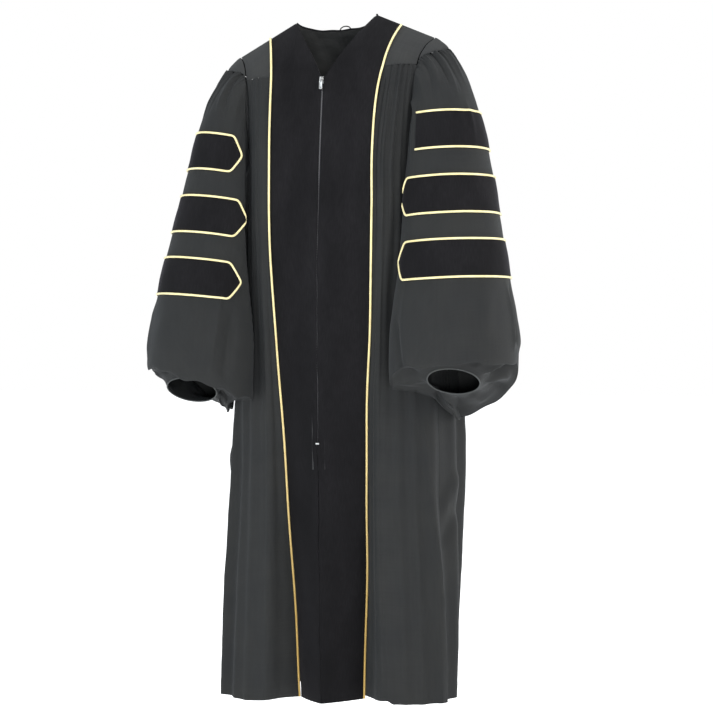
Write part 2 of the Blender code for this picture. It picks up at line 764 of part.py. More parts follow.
def build_wrist(side, columns):
    """The turned-in lower part of the sleeve, from just inside the mouth to the wrist opening."""
    lines = []
    centre = Vector((WRIST_CENTRE.x, WRIST_CENTRE.y, 0.0))
    for k, points in enumerate(columns):
        turn = math.radians(ROUND * k / SLEEVE_COLUMNS)
        foot = points[-1]
        middle = Vector((centre.x, centre.y, foot.z))
        start = foot + (middle - foot).normalized() * WRIST_INSET + UP * 0.006
        end = WRIST_CENTRE + Vector(
            (
                WRIST_HALF.x * math.cos(turn),
                WRIST_HALF.y * math.sin(turn),
                -WRIST_TILT * math.sin(turn),
            )
        )
        steps = spread(0.0, 1.0, WRIST_ROWS)
        lines.append([start.lerp(end, t) + UP * (WRIST_CROWN * math.sin(math.pi * t)) for t in steps])
    return wall(side_name("wrist", side), mirrored(lines, side), CLOTH, GREY, closed=True)


def is_blunt(side, index):
    """Whether a bar's front end is cut square by the fold beside it."""
    return side > 0 and index == 0


def bar_lines(side, index, columns):
    """The grid under one velvet bar: three points a column, drawn together at a pointed end."""
    step = ROUND // SLEEVE_COLUMNS
    first_row = 1 + len(SLEEVE_TOP_ROWS) + 3 * index
    front = BAR_FRONT[side][index] // step
    back = SLEEVE_COLUMNS + BAR_BACK // step
    normals = grid_normals(columns, True)
    points = []
    outs = []
    for k in range(front, back + 1):
        column_points = columns[k % SLEEVE_COLUMNS]
        column_normals = normals[k % SLEEVE_COLUMNS]
        rows = [first_row, first_row + 1, first_row + 2]
        pointed = k == back or (k == front and not is_blunt(side, index))
        if pointed:
            rows = [first_row + 1] * 3
        raised = POINT_LIFT if pointed else 0.0
        points.append([column_points[r] + column_normals[r] * raised for r in rows])
        outs.append([column_normals[r].copy() for r in rows])
    return points, outs


def bar_outline(points, outs, blunt):
    """The bar's edge as points and normals: along the top, round the back end, along the foot.

    A blunt front end has no cord: there the two ends are sewn into the cloth.
    """
    last = len(points) - 1
    loop = [(points[k][0], outs[k][0]) for k in range(last + 1)]
    loop += [(points[k][2], outs[k][2]) for k in range(last - 1, -1 if blunt else 0, -1)]
    return loop


def build_bar(side, index, columns):
    """One velvet bar and the gold cord round it."""
    points, outs = bar_lines(side, index, columns)
    flip = Vector((side, 1.0, 1.0))
    points = [[p * flip for p in line] for line in points]
    outs = [[n * flip for n in line] for line in outs]
    name = side_name("bar", side) + f"_{index + 1}"
    raised = [[p + n * (LAY_GAP + VELVET) for p, n in zip(*pair)] for pair in zip(points, outs)]
    wall_of(name, raised, outs, VELVET, BLACK)
    closed = not is_blunt(side, index)
    loop = bar_outline(points, outs, not closed)
    count = len(loop)
    spaced = []
    for k, (point, out) in enumerate(loop):
        after = (k + 1) % count if closed else min(k + 1, count - 1)
        before = k - 1 if closed else max(k - 1, 0)
        ahead = (loop[after][0] - loop[before][0]).normalized()
        aside = ahead.cross(out).normalized() * -side
        spaced.append(
            point + aside * (CORD_RADIUS + BAR_SLACK) + out * (CORD_RADIUS + 2.5 * LAY_GAP)
        )
    return cord(name + "_piping", spaced, GOLD, CORD_RADIUS, closed=closed)


def piping_normal(z):
    """The way a cord on the panel's edge stands off: square to the cloth, or out of the fold it lies in."""
    step = 0.004
    edge = panel_edge(z)
    run = panel_edge(min(z + step, PANEL_SHOULDER.z)) - panel_edge(z - step)
    near = 0.96
    before = (hang(panel_section, panel_top(near), near, z) - edge).normalized()
    out = run.cross(before).normalized()
    if out.y > 0:
        out = -out
    if z < FRONT_YOKE_Z:
        beside = 0.02
        after = (hang(skirt_section, skirt_top(beside), beside, z) - edge).normalized()
        middle = before + after
        if middle.length > 0.2 and middle.y < 0:
            out = middle.normalized()
    half = math.acos(max(-1.0, min(1.0, out.dot(before))))
    return out, max(math.sin(min(half, 0.5 * math.pi)), 0.4)


def build_panel_piping(side):
    """The gold cord down the panel's outer edge, nested in the seam where the cloth folds in."""
    heights = {*column_heights(PANEL_SHOULDER.z), *column_heights(FRONT_YOKE_Z)}
    heights |= set(spread(FRONT_YOKE_Z, PANEL_SHOULDER.z, ARMHOLE_COLUMNS))
    heights = sorted(heights, reverse=True)
    heights[0] -= 0.002
    points = []
    for z in heights:
        out, slant = piping_normal(z)
        point = panel_edge(z) + out * ((CORD_RADIUS + 1.5 * LAY_GAP) / slant)
        points.append(point * Vector((side, 1.0, 1.0)))
    return cord(side_name("piping", side), points, GOLD, CORD_RADIUS, sides=1)


def build_neck_binding():
    """The thin velvet binding that rides on the back of the neckline."""
    points = []
    for k in range(-BINDING_STEPS, BINDING_STEPS + 1):
        point = back_yoke_top(1.0 - (1.0 - BINDING_START) * abs(k) / BINDING_STEPS)
        point.x = math.copysign(point.x, k) if k else 0.0
        points.append(point + BINDING_LIFT)
    return cord("neck_back", points, BLACK, CORD_RADIUS, sides=1)


def build_hang_loop():
    """The small loop of tape at the back of the neck."""
    points = []
    for turn in spread(0.0, math.pi, LOOP_STEPS):
        arch = Vector((LOOP_SPAN * math.cos(turn), 0.0, LOOP_RISE * math.sin(turn)))
        points.append(BACK_NECK + LOOP_FOOT + arch)
    return cord("hang_loop", points, BLACK, LOOP_RADIUS)


def tape_line(z, depth):
    """Three points across the zip tape at a depth behind the panels' outer face."""
    centre = hang(panel_section, panel_top(0.0), 0.0, z)
    side = hang(panel_section, panel_top(TAPE_SHARE), TAPE_SHARE, z)
    way = (side - centre).normalized()
    back = Vector((-way.y, way.x, 0.0))
    middle = centre + Vector((0.0, depth / back.y, 0.0))
    left = side + back * depth
    right = Vector((-left.x, left.y, left.z))
    return [right, middle, left]


def build_tape():
    """The zip's tape, behind the two panels, from under the slider to below the stop."""
    rows = [z for z in column_heights(NECK_FOOT.z) if TAPE_FOOT < z < TAPE_TOP]
    lines = [tape_line(z, VELVET + SEAM + TAPE_SLACK) for z in (TAPE_TOP, *rows, TAPE_FOOT)]
    columns = [list(points) for points in zip(*lines)]
    return wall("zip_tape", columns, TAPE, TAPE_BLACK)


def box(work, low, high):
    made = bmesh.ops.create_cube(work, size=1.0)
    for vertex in made["verts"]:
        for axis in range(3):
            vertex.co[axis] = high[axis] if vertex.co[axis] > 0 else low[axis]
    return made["verts"]


def union(name, boxes, finish, turn=0.0, at=Vector()):
    """Boxes joined into one body, then leaned about X and moved into place."""
    parts = []
    for index, (low, high) in enumerate(boxes):
        work = bmesh.new()
        box(work, low, high)
        bmesh.ops.bevel(
            work, geom=work.edges, offset=0.00025, segments=1, profile=0.5, affect="EDGES", material=-1
        )
        helper = name if index == 0 else f"{name}_add_{index}"
        parts.append(finish_mesh(helper, work, finish))
    body = parts[0]
    for other in parts[1:]:
        other.hide_render = True
        other.display_type = "WIRE"
        joiner = body.modifiers.new(other.name, "BOOLEAN")
        joiner.operation = "UNION"
        joiner.solver = "EXACT"
        joiner.object = other
        other.location = at
        other.rotation_euler.x = turn
    body.location = at
    body.rotation_euler.x = turn
    return body


def build_slider():
    """The slider: a front plate over the panels with an arched bail that traps the pull tab's bar."""
    plate = ((-0.0042, 0.0022, -0.0075), (0.0042, 0.0040, 0.0050))
    neck = ((-0.0008, 0.0036, -0.0005), (0.0008, 0.0138, 0.0040))
    rear = ((-0.0038, 0.0133, -0.0060), (0.0038, 0.0147, 0.0045))
    foot_low = ((-0.0008, -0.0024, -0.0036), (0.0008, 0.0026, -0.0022))
    foot_high = ((-0.0008, -0.0024, 0.0022), (0.0008, 0.0026, 0.0036))
    bridge = ((-0.0008, -0.0036, -0.0036), (0.0008, -0.0022, 0.0036))
    return union(
        "zip_slider", (plate, neck, rear, foot_low, foot_high, bridge), METAL, -PULL_LEAN, PULL_AXIS
    )


def build_pull():
    """The pull tab, hung by its top bar inside the bail; its origin is on the hinge's axis."""
    bar = ((-0.0032, -0.0007, -0.0007), (0.0032, 0.0007, 0.0007))
    left = ((0.0018, -0.0007, -0.0080), (0.0032, 0.0007, 0.0004))
    right = ((-0.0032, -0.0007, -0.0080), (-0.0018, 0.0007, 0.0004))
    blade = ((-0.0032, -0.0007, -PULL_LENGTH), (0.0032, 0.0007, -0.0058))
    return union("zip_pull", (bar, left, right, blade), METAL, -PULL_LEAN, PULL_AXIS)


def build_stop():
    """The metal stop at the foot of the zip."""
    centre = panel_section(ZIP_STOP_Z, 0.0)
    low = (-0.0036, -0.0016, -0.0016)
    high = (0.0036, 0.0003, 0.0016)
    return union("zip_stop", ((low, high),), METAL, 0.0, centre)


def clear_scene():
    for obj in list(bpy.data.objects):
        bpy.data.objects.remove(obj, do_unlink=True)


def main():
    clear_scene()
    build_back()
    build_back_yoke()
    for side in (1, -1):
        build_front(side)
        build_panel(side)
        build_yoke(side)
        build_panel_piping(side)
        columns = sleeve_columns(side)
        build_cap(side, columns)
        build_sleeve(side, columns)
        build_wrist(side, columns)
        for index in range(len(BAR_TOPS)):
            build_bar(side, index, columns)
    build_neck_binding()
    build_hang_loop()
    build_tape()
    build_slider()
    build_pull()
    build_stop()


main()
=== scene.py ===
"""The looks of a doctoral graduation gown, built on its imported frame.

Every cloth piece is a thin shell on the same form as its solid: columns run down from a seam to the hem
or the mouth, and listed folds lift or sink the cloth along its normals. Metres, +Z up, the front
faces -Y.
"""

import logging
import math
from dataclasses import dataclass, field
from enum import Enum
from typing import Callable, NamedTuple, Sequence

import bmesh
import bpy
import numpy as np
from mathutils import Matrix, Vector, noise


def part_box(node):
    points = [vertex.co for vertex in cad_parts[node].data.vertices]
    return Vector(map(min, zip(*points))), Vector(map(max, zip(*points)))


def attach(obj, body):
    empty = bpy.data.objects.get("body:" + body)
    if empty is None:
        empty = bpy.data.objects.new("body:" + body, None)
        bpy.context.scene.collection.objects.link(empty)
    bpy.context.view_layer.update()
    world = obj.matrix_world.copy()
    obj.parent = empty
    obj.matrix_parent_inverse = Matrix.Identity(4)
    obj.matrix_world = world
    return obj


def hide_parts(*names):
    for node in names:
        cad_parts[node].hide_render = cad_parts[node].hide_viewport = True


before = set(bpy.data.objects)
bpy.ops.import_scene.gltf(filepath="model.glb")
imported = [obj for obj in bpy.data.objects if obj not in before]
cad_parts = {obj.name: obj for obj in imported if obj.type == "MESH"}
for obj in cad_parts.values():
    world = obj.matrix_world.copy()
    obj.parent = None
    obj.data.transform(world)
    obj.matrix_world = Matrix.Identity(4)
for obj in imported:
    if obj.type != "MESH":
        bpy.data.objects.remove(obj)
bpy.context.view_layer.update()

log = logging.getLogger("gown")
Array = np.ndarray

GOWN = "gown"
PULL_BODY = "zip_pull"


class Side(Enum):
    """Which half of the gown, by the wearer: the sign of its x."""

    LEFT = 1
    RIGHT = -1

    @property
    def word(self) -> str:
        """The word that ends this side's piece names."""
        return "left" if self is Side.LEFT else "right"


# ---------------------------------------------------------------- the cut: walls, gaps and seams

CLOTH = 0.0012
VELVET = 0.0016
SEAM = 0.0004
ARMHOLE_GAP = 0.0014
CORD_RADIUS = 0.0021
LAY_GAP = 0.0007
SHOULDER_SLOPE = 0.0353
JOIN_Z = -0.30
HEM_Z = -1.305
FRONT_YOKE_Z = -0.082
OUTLINE_LENGTH = 0.45
PANEL_WIDTH = 0.105


class Section(NamedTuple):
    """Half of the body's outline at one height."""

    z: float
    front: float
    edge_x: float
    edge_y: float
    fold_x: float
    fold_y: float
    side_x: float
    side_y: float
    quarter_x: float
    quarter_y: float
    back: float


BODY = (
    Section(-0.08, -0.075, 0.109, -0.066, 0.130, -0.062, 0.176, 0.005, 0.150, 0.066, 0.088),
    Section(-0.25, -0.094, 0.105, -0.089, 0.130, -0.084, 0.181, 0.000, 0.162, 0.068, 0.105),
    Section(-0.37, -0.103, 0.105, -0.088, 0.130, -0.085, 0.185, -0.004, 0.172, 0.082, 0.120),
    Section(-0.51, -0.110, 0.100, -0.082, 0.122, -0.082, 0.191, -0.008, 0.186, 0.098, 0.135),
    Section(-0.61, -0.108, 0.096, -0.073, 0.118, -0.078, 0.198, -0.010, 0.198, 0.110, 0.146),
    Section(-0.745, -0.105, 0.087, -0.064, 0.115, -0.076, 0.211, -0.010, 0.213, 0.120, 0.156),
    Section(-0.892, -0.101, 0.083, -0.050, 0.114, -0.074, 0.217, -0.010, 0.210, 0.125, 0.162),
    Section(-1.038, -0.097, 0.078, -0.033, 0.116, -0.073, 0.225, -0.010, 0.201, 0.116, 0.165),
    Section(-1.165, -0.093, 0.0725, -0.024, 0.119, -0.072, 0.229, -0.012, 0.194, 0.108, 0.160),
    Section(HEM_Z, -0.087, 0.0666, -0.020, 0.121, -0.071, 0.231, -0.014, 0.183, 0.100, 0.150),
)
OUTLINE_KNOTS = (0.0, 0.14, 0.42, 0.66, 1.0)
SIDE_SEAM = OUTLINE_KNOTS[2]
PANEL_DRAW = 4.5
SKIRT_DRAW = 2.0
PANEL_BULGE = 0.003


class Pleat(NamedTuple):
    """A pleat hung from a yoke: its place along the outline, its width, its depth at the top and the hem."""

    at: float
    width: float
    top: float
    hem: float


PLEATS = (
    Pleat(0.17, 0.018, 0.0045, 0.000),
    Pleat(0.235, 0.018, 0.0040, 0.003),
    Pleat(0.30, 0.020, 0.0035, 0.005),
    Pleat(0.38, 0.028, 0.0000, 0.009),
    Pleat(0.50, 0.028, 0.0000, 0.012),
    Pleat(0.60, 0.026, 0.0040, 0.014),
    Pleat(0.70, 0.024, 0.0070, 0.016),
    Pleat(0.79, 0.024, 0.0060, 0.014),
    Pleat(0.88, 0.024, 0.0080, 0.017),
    Pleat(0.97, 0.022, 0.0050, 0.012),
)

NECK_FOOT = np.array((0.0, -0.076, -0.098))
NECK_POINT = np.array((0.084, 0.000, 0.030))
PANEL_SHOULDER = np.array((0.137, -0.004, 0.003))
SHOULDER_TIP = np.array((0.203, 0.000, -0.027))
BACK_NECK = np.array((0.0, 0.060, 0.017))
BACK_YOKE_CENTRE = np.array((0.0, 0.092, -0.095))
NECK_SHARE = 0.6
SHOULDER_SHARE = 0.55


class Armhole(NamedTuple):
    """The armhole's edge at an angle round the sleeve: 0 at the top, 90 behind, 180 under, 270 in front."""

    angle: float
    x: float
    y: float
    z: float


ARMHOLE = (
    Armhole(0, 0.203, 0.000, -0.027),
    Armhole(45, 0.190, 0.029, -0.045),
    Armhole(90, 0.177, 0.045, -0.084),
    Armhole(135, 0.180, 0.034, -0.170),
    Armhole(180, 0.180, 0.003, -0.250),
    Armhole(225, 0.171, -0.045, -0.170),
    Armhole(270, 0.177, -0.034, -0.082),
    Armhole(315, 0.188, -0.018, -0.046),
    Armhole(360, 0.203, 0.000, -0.027),
)
FRONT_ARMHOLE = 0.30
BACK_ARMHOLE = 0.54


class Tube(NamedTuple):
    """The sleeve's section at one height: centre, half widths, and how its inner side leans forward."""

    z: float
    x: float
    y: float
    half_x: float
    half_y: float
    lean: float


SLEEVE = (
    Tube(-0.02, 0.196, 0.000, 0.026, 0.036, 0.000),
    Tube(-0.06, 0.205, 0.000, 0.049, 0.050, 0.000),
    Tube(-0.10, 0.212, 0.000, 0.057, 0.060, 0.000),
    Tube(-0.15, 0.220, -0.001, 0.064, 0.068, 0.000),
    Tube(-0.24, 0.229, -0.008, 0.077, 0.080, 0.050),
    Tube(-0.34, 0.238, -0.020, 0.089, 0.090, 0.060),
    Tube(-0.46, 0.251, -0.040, 0.1005, 0.100, 0.060),
    Tube(-0.54, 0.254, -0.050, 0.111, 0.108, 0.080),
    Tube(-0.62, 0.258, -0.058, 0.119, 0.114, 0.110),
    Tube(-0.70, 0.259, -0.060, 0.117, 0.112, 0.110),
    Tube(-0.78, 0.259, -0.056, 0.104, 0.100, 0.110),
)
CROWN_DRAW = 4.0
UNDERARM_DRAW = 9.0
RIGHT_SLOPE = 0.030
BAR_HEIGHT = 0.070
BAR_TOPS = (-0.181, -0.306, -0.429)
SLEEVE_TOP_ROWS = (-0.050, -0.085, -0.130)
SLEEVE_LOW_ROWS = (-0.545, -0.590, -0.630)
SLEEVE_JOIN_Z = -0.300
ROW_SQUEEZE = 0.045
MOUTH_Z = -0.655


class Mouth(NamedTuple):
    """How far the mouth's edge hangs below its front at an angle, on each sleeve."""

    angle: float
    left: float
    right: float


MOUTH = (
    Mouth(0, 0.008, -0.020),
    Mouth(45, 0.060, 0.020),
    Mouth(90, 0.105, 0.072),
    Mouth(135, 0.103, 0.084),
    Mouth(180, 0.050, 0.062),
    Mouth(225, 0.014, 0.042),
    Mouth(270, 0.007, 0.010),
    Mouth(315, 0.007, -0.008),
    Mouth(360, 0.008, -0.020),
)
BODY_CLEARANCE = 0.010
CAP_LENGTH = 0.036
CAP_REACH = 82.0
BAR_FRONT = {Side.LEFT: (240, 210, 210), Side.RIGHT: (225, 210, 210)}
BAR_BACK = 450.0
BAR_POINT = 15.0
BAR_TIPS = np.array([0.3, 0.9, 1.8])  # degrees in from a bar's end: columns that keep its point sharp
BAR_ACROSS = np.array([0.2, 0.4, 0.6, 0.8, 0.92, 0.97, 1.0])  # rows from a bar's middle to its edge

WRIST_HALF = (0.050, 0.042)
WRIST_CENTRE = np.array((0.268, -0.095, -0.692))
WRIST_TILT = 0.024
WRIST_CROWN = 0.010


class Crumple(NamedTuple):
    """One crumple of the turned-in cloth: degrees round the mouth and shares of the way in."""

    angle: float
    share: float
    end_angle: float
    end_share: float
    width: float
    height: float


WRIST_CRUMPLES = {
    Side.LEFT: (
        Crumple(-20, 0.1, -8, 0.9, 0.050, 0.0075),
        Crumple(2, 0.0, 8, 0.8, 0.040, -0.0080),
        Crumple(22, 0.1, 24, 0.9, 0.055, 0.0070),
        Crumple(44, 0.0, 38, 0.8, 0.050, -0.0060),
        Crumple(70, 0.1, 78, 0.7, 0.080, 0.0050),
        Crumple(104, 0.0, 98, 0.8, 0.070, -0.0046),
        Crumple(136, 0.1, 130, 0.9, 0.070, 0.0060),
        Crumple(158, 0.0, 150, 0.8, 0.060, -0.0060),
        Crumple(184, 0.1, 178, 0.9, 0.070, 0.0050),
        Crumple(210, 0.0, 206, 0.8, 0.060, -0.0040),
        Crumple(-46, 0.1, -40, 0.8, 0.060, -0.0044),
        Crumple(-72, 0.1, -66, 0.8, 0.060, 0.0036),
    ),
    Side.RIGHT: (
        Crumple(-30, 0.1, -20, 0.9, 0.050, 0.0070),
        Crumple(-8, 0.0, -2, 0.8, 0.050, -0.0070),
        Crumple(18, 0.1, 22, 0.9, 0.060, 0.0060),
        Crumple(48, 0.0, 40, 0.8, 0.060, -0.0060),
        Crumple(74, 0.1, 80, 0.7, 0.070, 0.0050),
        Crumple(110, 0.0, 102, 0.8, 0.070, -0.0050),
        Crumple(140, 0.1, 134, 0.9, 0.060, 0.0066),
        Crumple(164, 0.0, 158, 0.8, 0.050, -0.0070),
        Crumple(188, 0.1, 186, 0.9, 0.060, 0.0060),
        Crumple(214, 0.0, 208, 0.8, 0.060, -0.0050),
        Crumple(236, 0.1, 234, 0.9, 0.060, 0.0044),
        Crumple(-60, 0.1, -52, 0.8, 0.060, -0.0050),
    ),
}

ZIP_STOP_Z = -0.803
ZIP_COVER_Z = -0.27
PULL_AXIS = np.array((0.0, -0.0850, -0.101))
PULL_LEAN = math.radians(6.0)


# ---------------------------------------------------------------- curves and small arithmetic


class Cubic:
    """A smooth curve through rows of values at rising knots."""

    def __init__(self, knots: Sequence[float], values: Sequence) -> None:
        """Keeps the knots, the values and the slope at each knot."""
        self.knots = np.asarray(knots, float)
        self.values = np.asarray(values, float)
        index = np.arange(len(self.knots))
        low = np.maximum(index - 1, 0)
        high = np.minimum(index + 1, len(index) - 1)
        run = (self.knots[high] - self.knots[low])[:, None]
        self.slopes = (self.values[high] - self.values[low]) / run

    def at(self, x: Array) -> Array:
        """The curve's values.

        Args:
            x: places along the knots, one a point.

        Returns:
            One row of values a point.
        """
        x = np.clip(x, self.knots[0], self.knots[-1])
        i = np.clip(np.searchsorted(self.knots, x, side="right") - 1, 0, len(self.knots) - 2)
        span = (self.knots[i + 1] - self.knots[i])[:, None]
        t = (x - self.knots[i])[:, None] / span
        step = self.values[i + 1] - self.values[i]
        start = self.slopes[i] * span
        end = self.slopes[i + 1] * span
        bend = (start + end - 2 * step) * t + (3 * step - 2 * start - end)
        return self.values[i] + (bend * t + start) * t


def cubic_of(table: Sequence[NamedTuple]) -> Cubic:
    """A table's columns, smoothed over its first one."""
    rows = sorted(table)
    return Cubic([row[0] for row in rows], [row[1:] for row in rows])


def ease(t: Array) -> Array:
    """A smooth step from 0 to 1."""
    t = np.clip(t, 0.0, 1.0)
    return t * t * (3 - 2 * t)


def blend(low: Array, high: Array, t: Array) -> Array:
    """Points between two others, t a number a point."""
    t = np.asarray(t)[..., None]
    return low * (1 - t) + high * t


def unit(v: Array) -> Array:
    """Vectors made one long."""
    return v / np.maximum(np.linalg.norm(v, axis=-1, keepdims=True), 1e-12)


def spread(start: float, end: float, count: int) -> Array:
    """Evenly spaced places, both ends among them."""
    return np.linspace(start, end, count + 1)


def seam_spaced(start: float, end: float, count: int, length: float, near: Sequence[float]) -> Array:
    """Places between two seams, with extra ones close to each end.

    Args:
        start: the first place.
        end: the last place.
        count: how many even steps there are.
        length: the real distance from start to end, in metres.
        near: real distances from each end that get a place too.

    Returns:
        The rising places.
    """
    shares = set(np.round(np.linspace(0.0, 1.0, count + 1), 6))
    for distance in near:
        shares |= {round(distance / length, 6), round(1 - distance / length, 6)}
    return start + (end - start) * np.array(sorted(shares))


def wobble(points: Array, size: float, seed: float) -> Array:
    """Smooth noise from -1 to 1 at points, with features of a size."""
    at = points / size + seed
    return np.array([noise.noise(Vector(p)) for p in at.reshape(-1, 3)]).reshape(points.shape[:-1])


def leaned(points: Array) -> Array:
    """The gown hangs a little lower on the wearer's right."""
    moved = points.copy()
    moved[..., 2] += SHOULDER_SLOPE * moved[..., 0]
    return moved


def grid_normals(points: Array, closed: bool = False) -> Array:
    """Outward normals of a grid whose columns run down and follow each other anticlockwise from above."""
    if closed:
        across = np.roll(points, -1, axis=0) - np.roll(points, 1, axis=0)
    else:
        across = np.gradient(points, axis=0)
    down = np.gradient(points, axis=1)
    return unit(np.cross(down, across))


# ---------------------------------------------------------------- folds


@dataclass(frozen=True)
class Fold:
    """A soft ridge or trough laid along a given line on the cloth.

    The line's points are (across, down) in metres on the cloth. A crisp fold has power 1, a soft one 2.
    """

    line: tuple[tuple[float, float], ...]
    width: float
    height: float
    power: float = 2.0
    fade_in: float = 0.15
    fade_out: float = 0.45

    def relief(self, across: Array, down: Array) -> Array:
        """How far the fold moves the cloth out.

        Args:
            across: each point's place across the cloth.
            down: each point's place down the cloth.

        Returns:
            The outward move of each point.
        """
        knots = np.array(self.line)
        steps = np.linalg.norm(np.diff(knots, axis=0), axis=1)
        total = steps.sum()
        best = np.full(across.shape, np.inf)
        share = np.zeros(across.shape)
        gone = 0.0
        for (ax, ay), (bx, by), step in zip(knots[:-1], knots[1:], steps):
            dx, dy = bx - ax, by - ay
            t = np.clip(((across - ax) * dx + (down - ay) * dy) / step**2, 0, 1)
            off = np.hypot(across - ax - t * dx, down - ay - t * dy)
            nearer = off < best
            best = np.where(nearer, off, best)
            share = np.where(nearer, (gone + t * step) / total, share)
            gone += step
        size = ease(share / max(self.fade_in, 1e-3)) if self.fade_in else 1.0
        size = size * (ease((1 - share) / self.fade_out) if self.fade_out else 1.0)
        return self.height * size * np.exp(-((best / self.width) ** self.power))


def relief_of(folds: Sequence[Fold], across: Array, down: Array) -> Array:
    """The sum of several folds."""
    total = np.zeros(across.shape)
    for fold in folds:
        total += fold.relief(across, down)
    return total


# ---------------------------------------------------------------- the body's form

T = OUTLINE_LENGTH  # folds on the body are laid in metres along its outline


def body_line(*points: tuple[float, float]) -> tuple[tuple[float, float], ...]:
    """A fold's line from places (along the outline, height)."""
    return tuple((t * T, -z) for t, z in points)


BOTH_FOLDS = (
    Fold(body_line((0.128, -0.36), (0.135, -0.62), (0.14, -1.30)), 0.010, 0.0050, 1.2, 0.2, 0.0),
    Fold(body_line((0.075, -0.42), (0.07, -0.80), (0.07, -1.30)), 0.012, -0.0030, 2.0, 0.2, 0.0),
)
LEFT_FOLDS = (
    # small pleats set into the yoke seam, each with the shadow of its fold beside it
    Fold(body_line((0.088, -0.082), (0.10, -0.20), (0.10, -0.42)), 0.0030, -0.0030, 1.5, 0.0, 0.6),
    Fold(body_line((0.105, -0.082), (0.118, -0.22), (0.12, -0.50)), 0.0050, 0.0030, 1.5, 0.0, 0.6),
    Fold(body_line((0.150, -0.080), (0.160, -0.25), (0.175, -0.55)), 0.0028, -0.0030, 1.4, 0.0, 0.6),
    Fold(body_line((0.172, -0.080), (0.182, -0.26), (0.195, -0.52)), 0.0045, 0.0028, 1.5, 0.0, 0.7),
    Fold(body_line((0.196, -0.080), (0.205, -0.30), (0.215, -0.60)), 0.0026, -0.0030, 1.4, 0.0, 0.6),
    Fold(body_line((0.240, -0.080), (0.250, -0.26), (0.255, -0.48)), 0.0030, -0.0026, 1.4, 0.0, 0.6),
    Fold(body_line((0.262, -0.080), (0.268, -0.22), (0.27, -0.40)), 0.0045, 0.0022, 1.5, 0.0, 0.7),
    Fold(body_line((0.30, -0.10), (0.295, -0.26), (0.285, -0.60)), 0.0060, -0.0030, 1.6, 0.1, 0.6),
    # the long pressed crease and the planes beside it
    Fold(body_line((0.040, -0.10), (0.045, -0.30), (0.050, -0.60)), 0.0060, -0.0045, 1.8, 0.05, 0.6),
    Fold(
        body_line((0.335, -0.72), (0.365, -0.92), (0.400, -1.16), (0.412, -1.305)),
        0.0075, 0.0062, 1.0, 0.15, 0.0,
    ),
    Fold(body_line((0.300, -0.80), (0.325, -1.00), (0.355, -1.30)), 0.030, -0.0050, 2.0, 0.3, 0.0),
    Fold(body_line((0.395, -0.80), (0.440, -1.05), (0.455, -1.30)), 0.016, -0.0060, 2.0, 0.3, 0.0),
    # soft slanting folds behind the crease
    Fold(body_line((0.425, -0.965), (0.462, -0.920), (0.530, -0.860)), 0.011, 0.0055, 2.0, 0.3, 0.3),
    Fold(body_line((0.420, -1.020), (0.470, -0.970), (0.540, -0.915)), 0.010, -0.0045, 2.0, 0.3, 0.3),
    Fold(body_line((0.200, -0.60), (0.210, -0.90), (0.225, -1.28)), 0.022, 0.0022, 2.0, 0.3, 0.1),
    Fold(body_line((0.245, -0.70), (0.260, -1.00), (0.280, -1.30)), 0.018, -0.0020, 2.0, 0.3, 0.0),
)
RIGHT_FOLDS = (
    Fold(body_line((0.105, -0.082), (0.112, -0.20), (0.12, -0.36)), 0.0045, 0.0016, 1.6, 0.0, 0.7),
    Fold(body_line((0.150, -0.080), (0.158, -0.22), (0.165, -0.40)), 0.0030, -0.0016, 1.5, 0.0, 0.7),
    Fold(body_line((0.225, -0.080), (0.232, -0.24), (0.24, -0.46)), 0.0035, -0.0018, 1.5, 0.0, 0.7),
    Fold(body_line((0.275, -0.080), (0.272, -0.20), (0.27, -0.36)), 0.0045, 0.0018, 1.6, 0.0, 0.7),
    Fold(body_line((0.355, -0.62), (0.375, -0.88), (0.392, -1.305)), 0.0090, 0.0045, 1.3, 0.3, 0.0),
    Fold(body_line((0.315, -0.70), (0.335, -1.00), (0.345, -1.305)), 0.020, -0.0040, 2.0, 0.3, 0.0),
    Fold(body_line((0.215, -0.55), (0.220, -0.85), (0.230, -1.20)), 0.024, 0.0018, 2.0, 0.3, 0.3),
    Fold(body_line((0.430, -0.90), (0.465, -0.86), (0.520, -0.80)), 0.012, 0.0045, 2.0, 0.3, 0.3),
)
BACK_FOLDS = (
    # small pleats under the back yoke
    Fold(body_line((0.575, -0.086), (0.578, -0.20), (0.585, -0.42)), 0.0032, -0.0034, 1.4, 0.0, 0.6),
    Fold(body_line((0.645, -0.088), (0.648, -0.26), (0.655, -0.60)), 0.0032, -0.0040, 1.4, 0.0, 0.6),
    Fold(body_line((0.742, -0.092), (0.745, -0.24), (0.745, -0.52)), 0.0032, -0.0040, 1.4, 0.0, 0.6),
    Fold(body_line((0.836, -0.094), (0.835, -0.30), (0.832, -0.66)), 0.0032, -0.0042, 1.4, 0.0, 0.6),
    Fold(body_line((0.926, -0.095), (0.925, -0.24), (0.924, -0.50)), 0.0032, -0.0038, 1.4, 0.0, 0.6),
    # long troughs between the skirt's hanging folds
    Fold(body_line((0.552, -0.55), (0.555, -0.90), (0.556, -1.305)), 0.010, -0.0060, 1.7, 0.4, 0.0),
    Fold(body_line((0.652, -0.66), (0.654, -0.95), (0.650, -1.305)), 0.010, -0.0070, 1.7, 0.4, 0.0),
    Fold(body_line((0.746, -0.50), (0.744, -0.88), (0.748, -1.305)), 0.009, -0.0065, 1.7, 0.4, 0.0),
    Fold(body_line((0.832, -0.74), (0.836, -1.00), (0.838, -1.305)), 0.010, -0.0075, 1.7, 0.4, 0.0),
    Fold(body_line((0.926, -0.60), (0.924, -0.95), (0.922, -1.305)), 0.009, -0.0060, 1.7, 0.4, 0.0),
    Fold(body_line((0.60, -0.20), (0.68, -0.30), (0.78, -0.36)), 0.020, 0.0022, 2.0, 0.3, 0.4),
)
HEM_DEPTH = 0.030


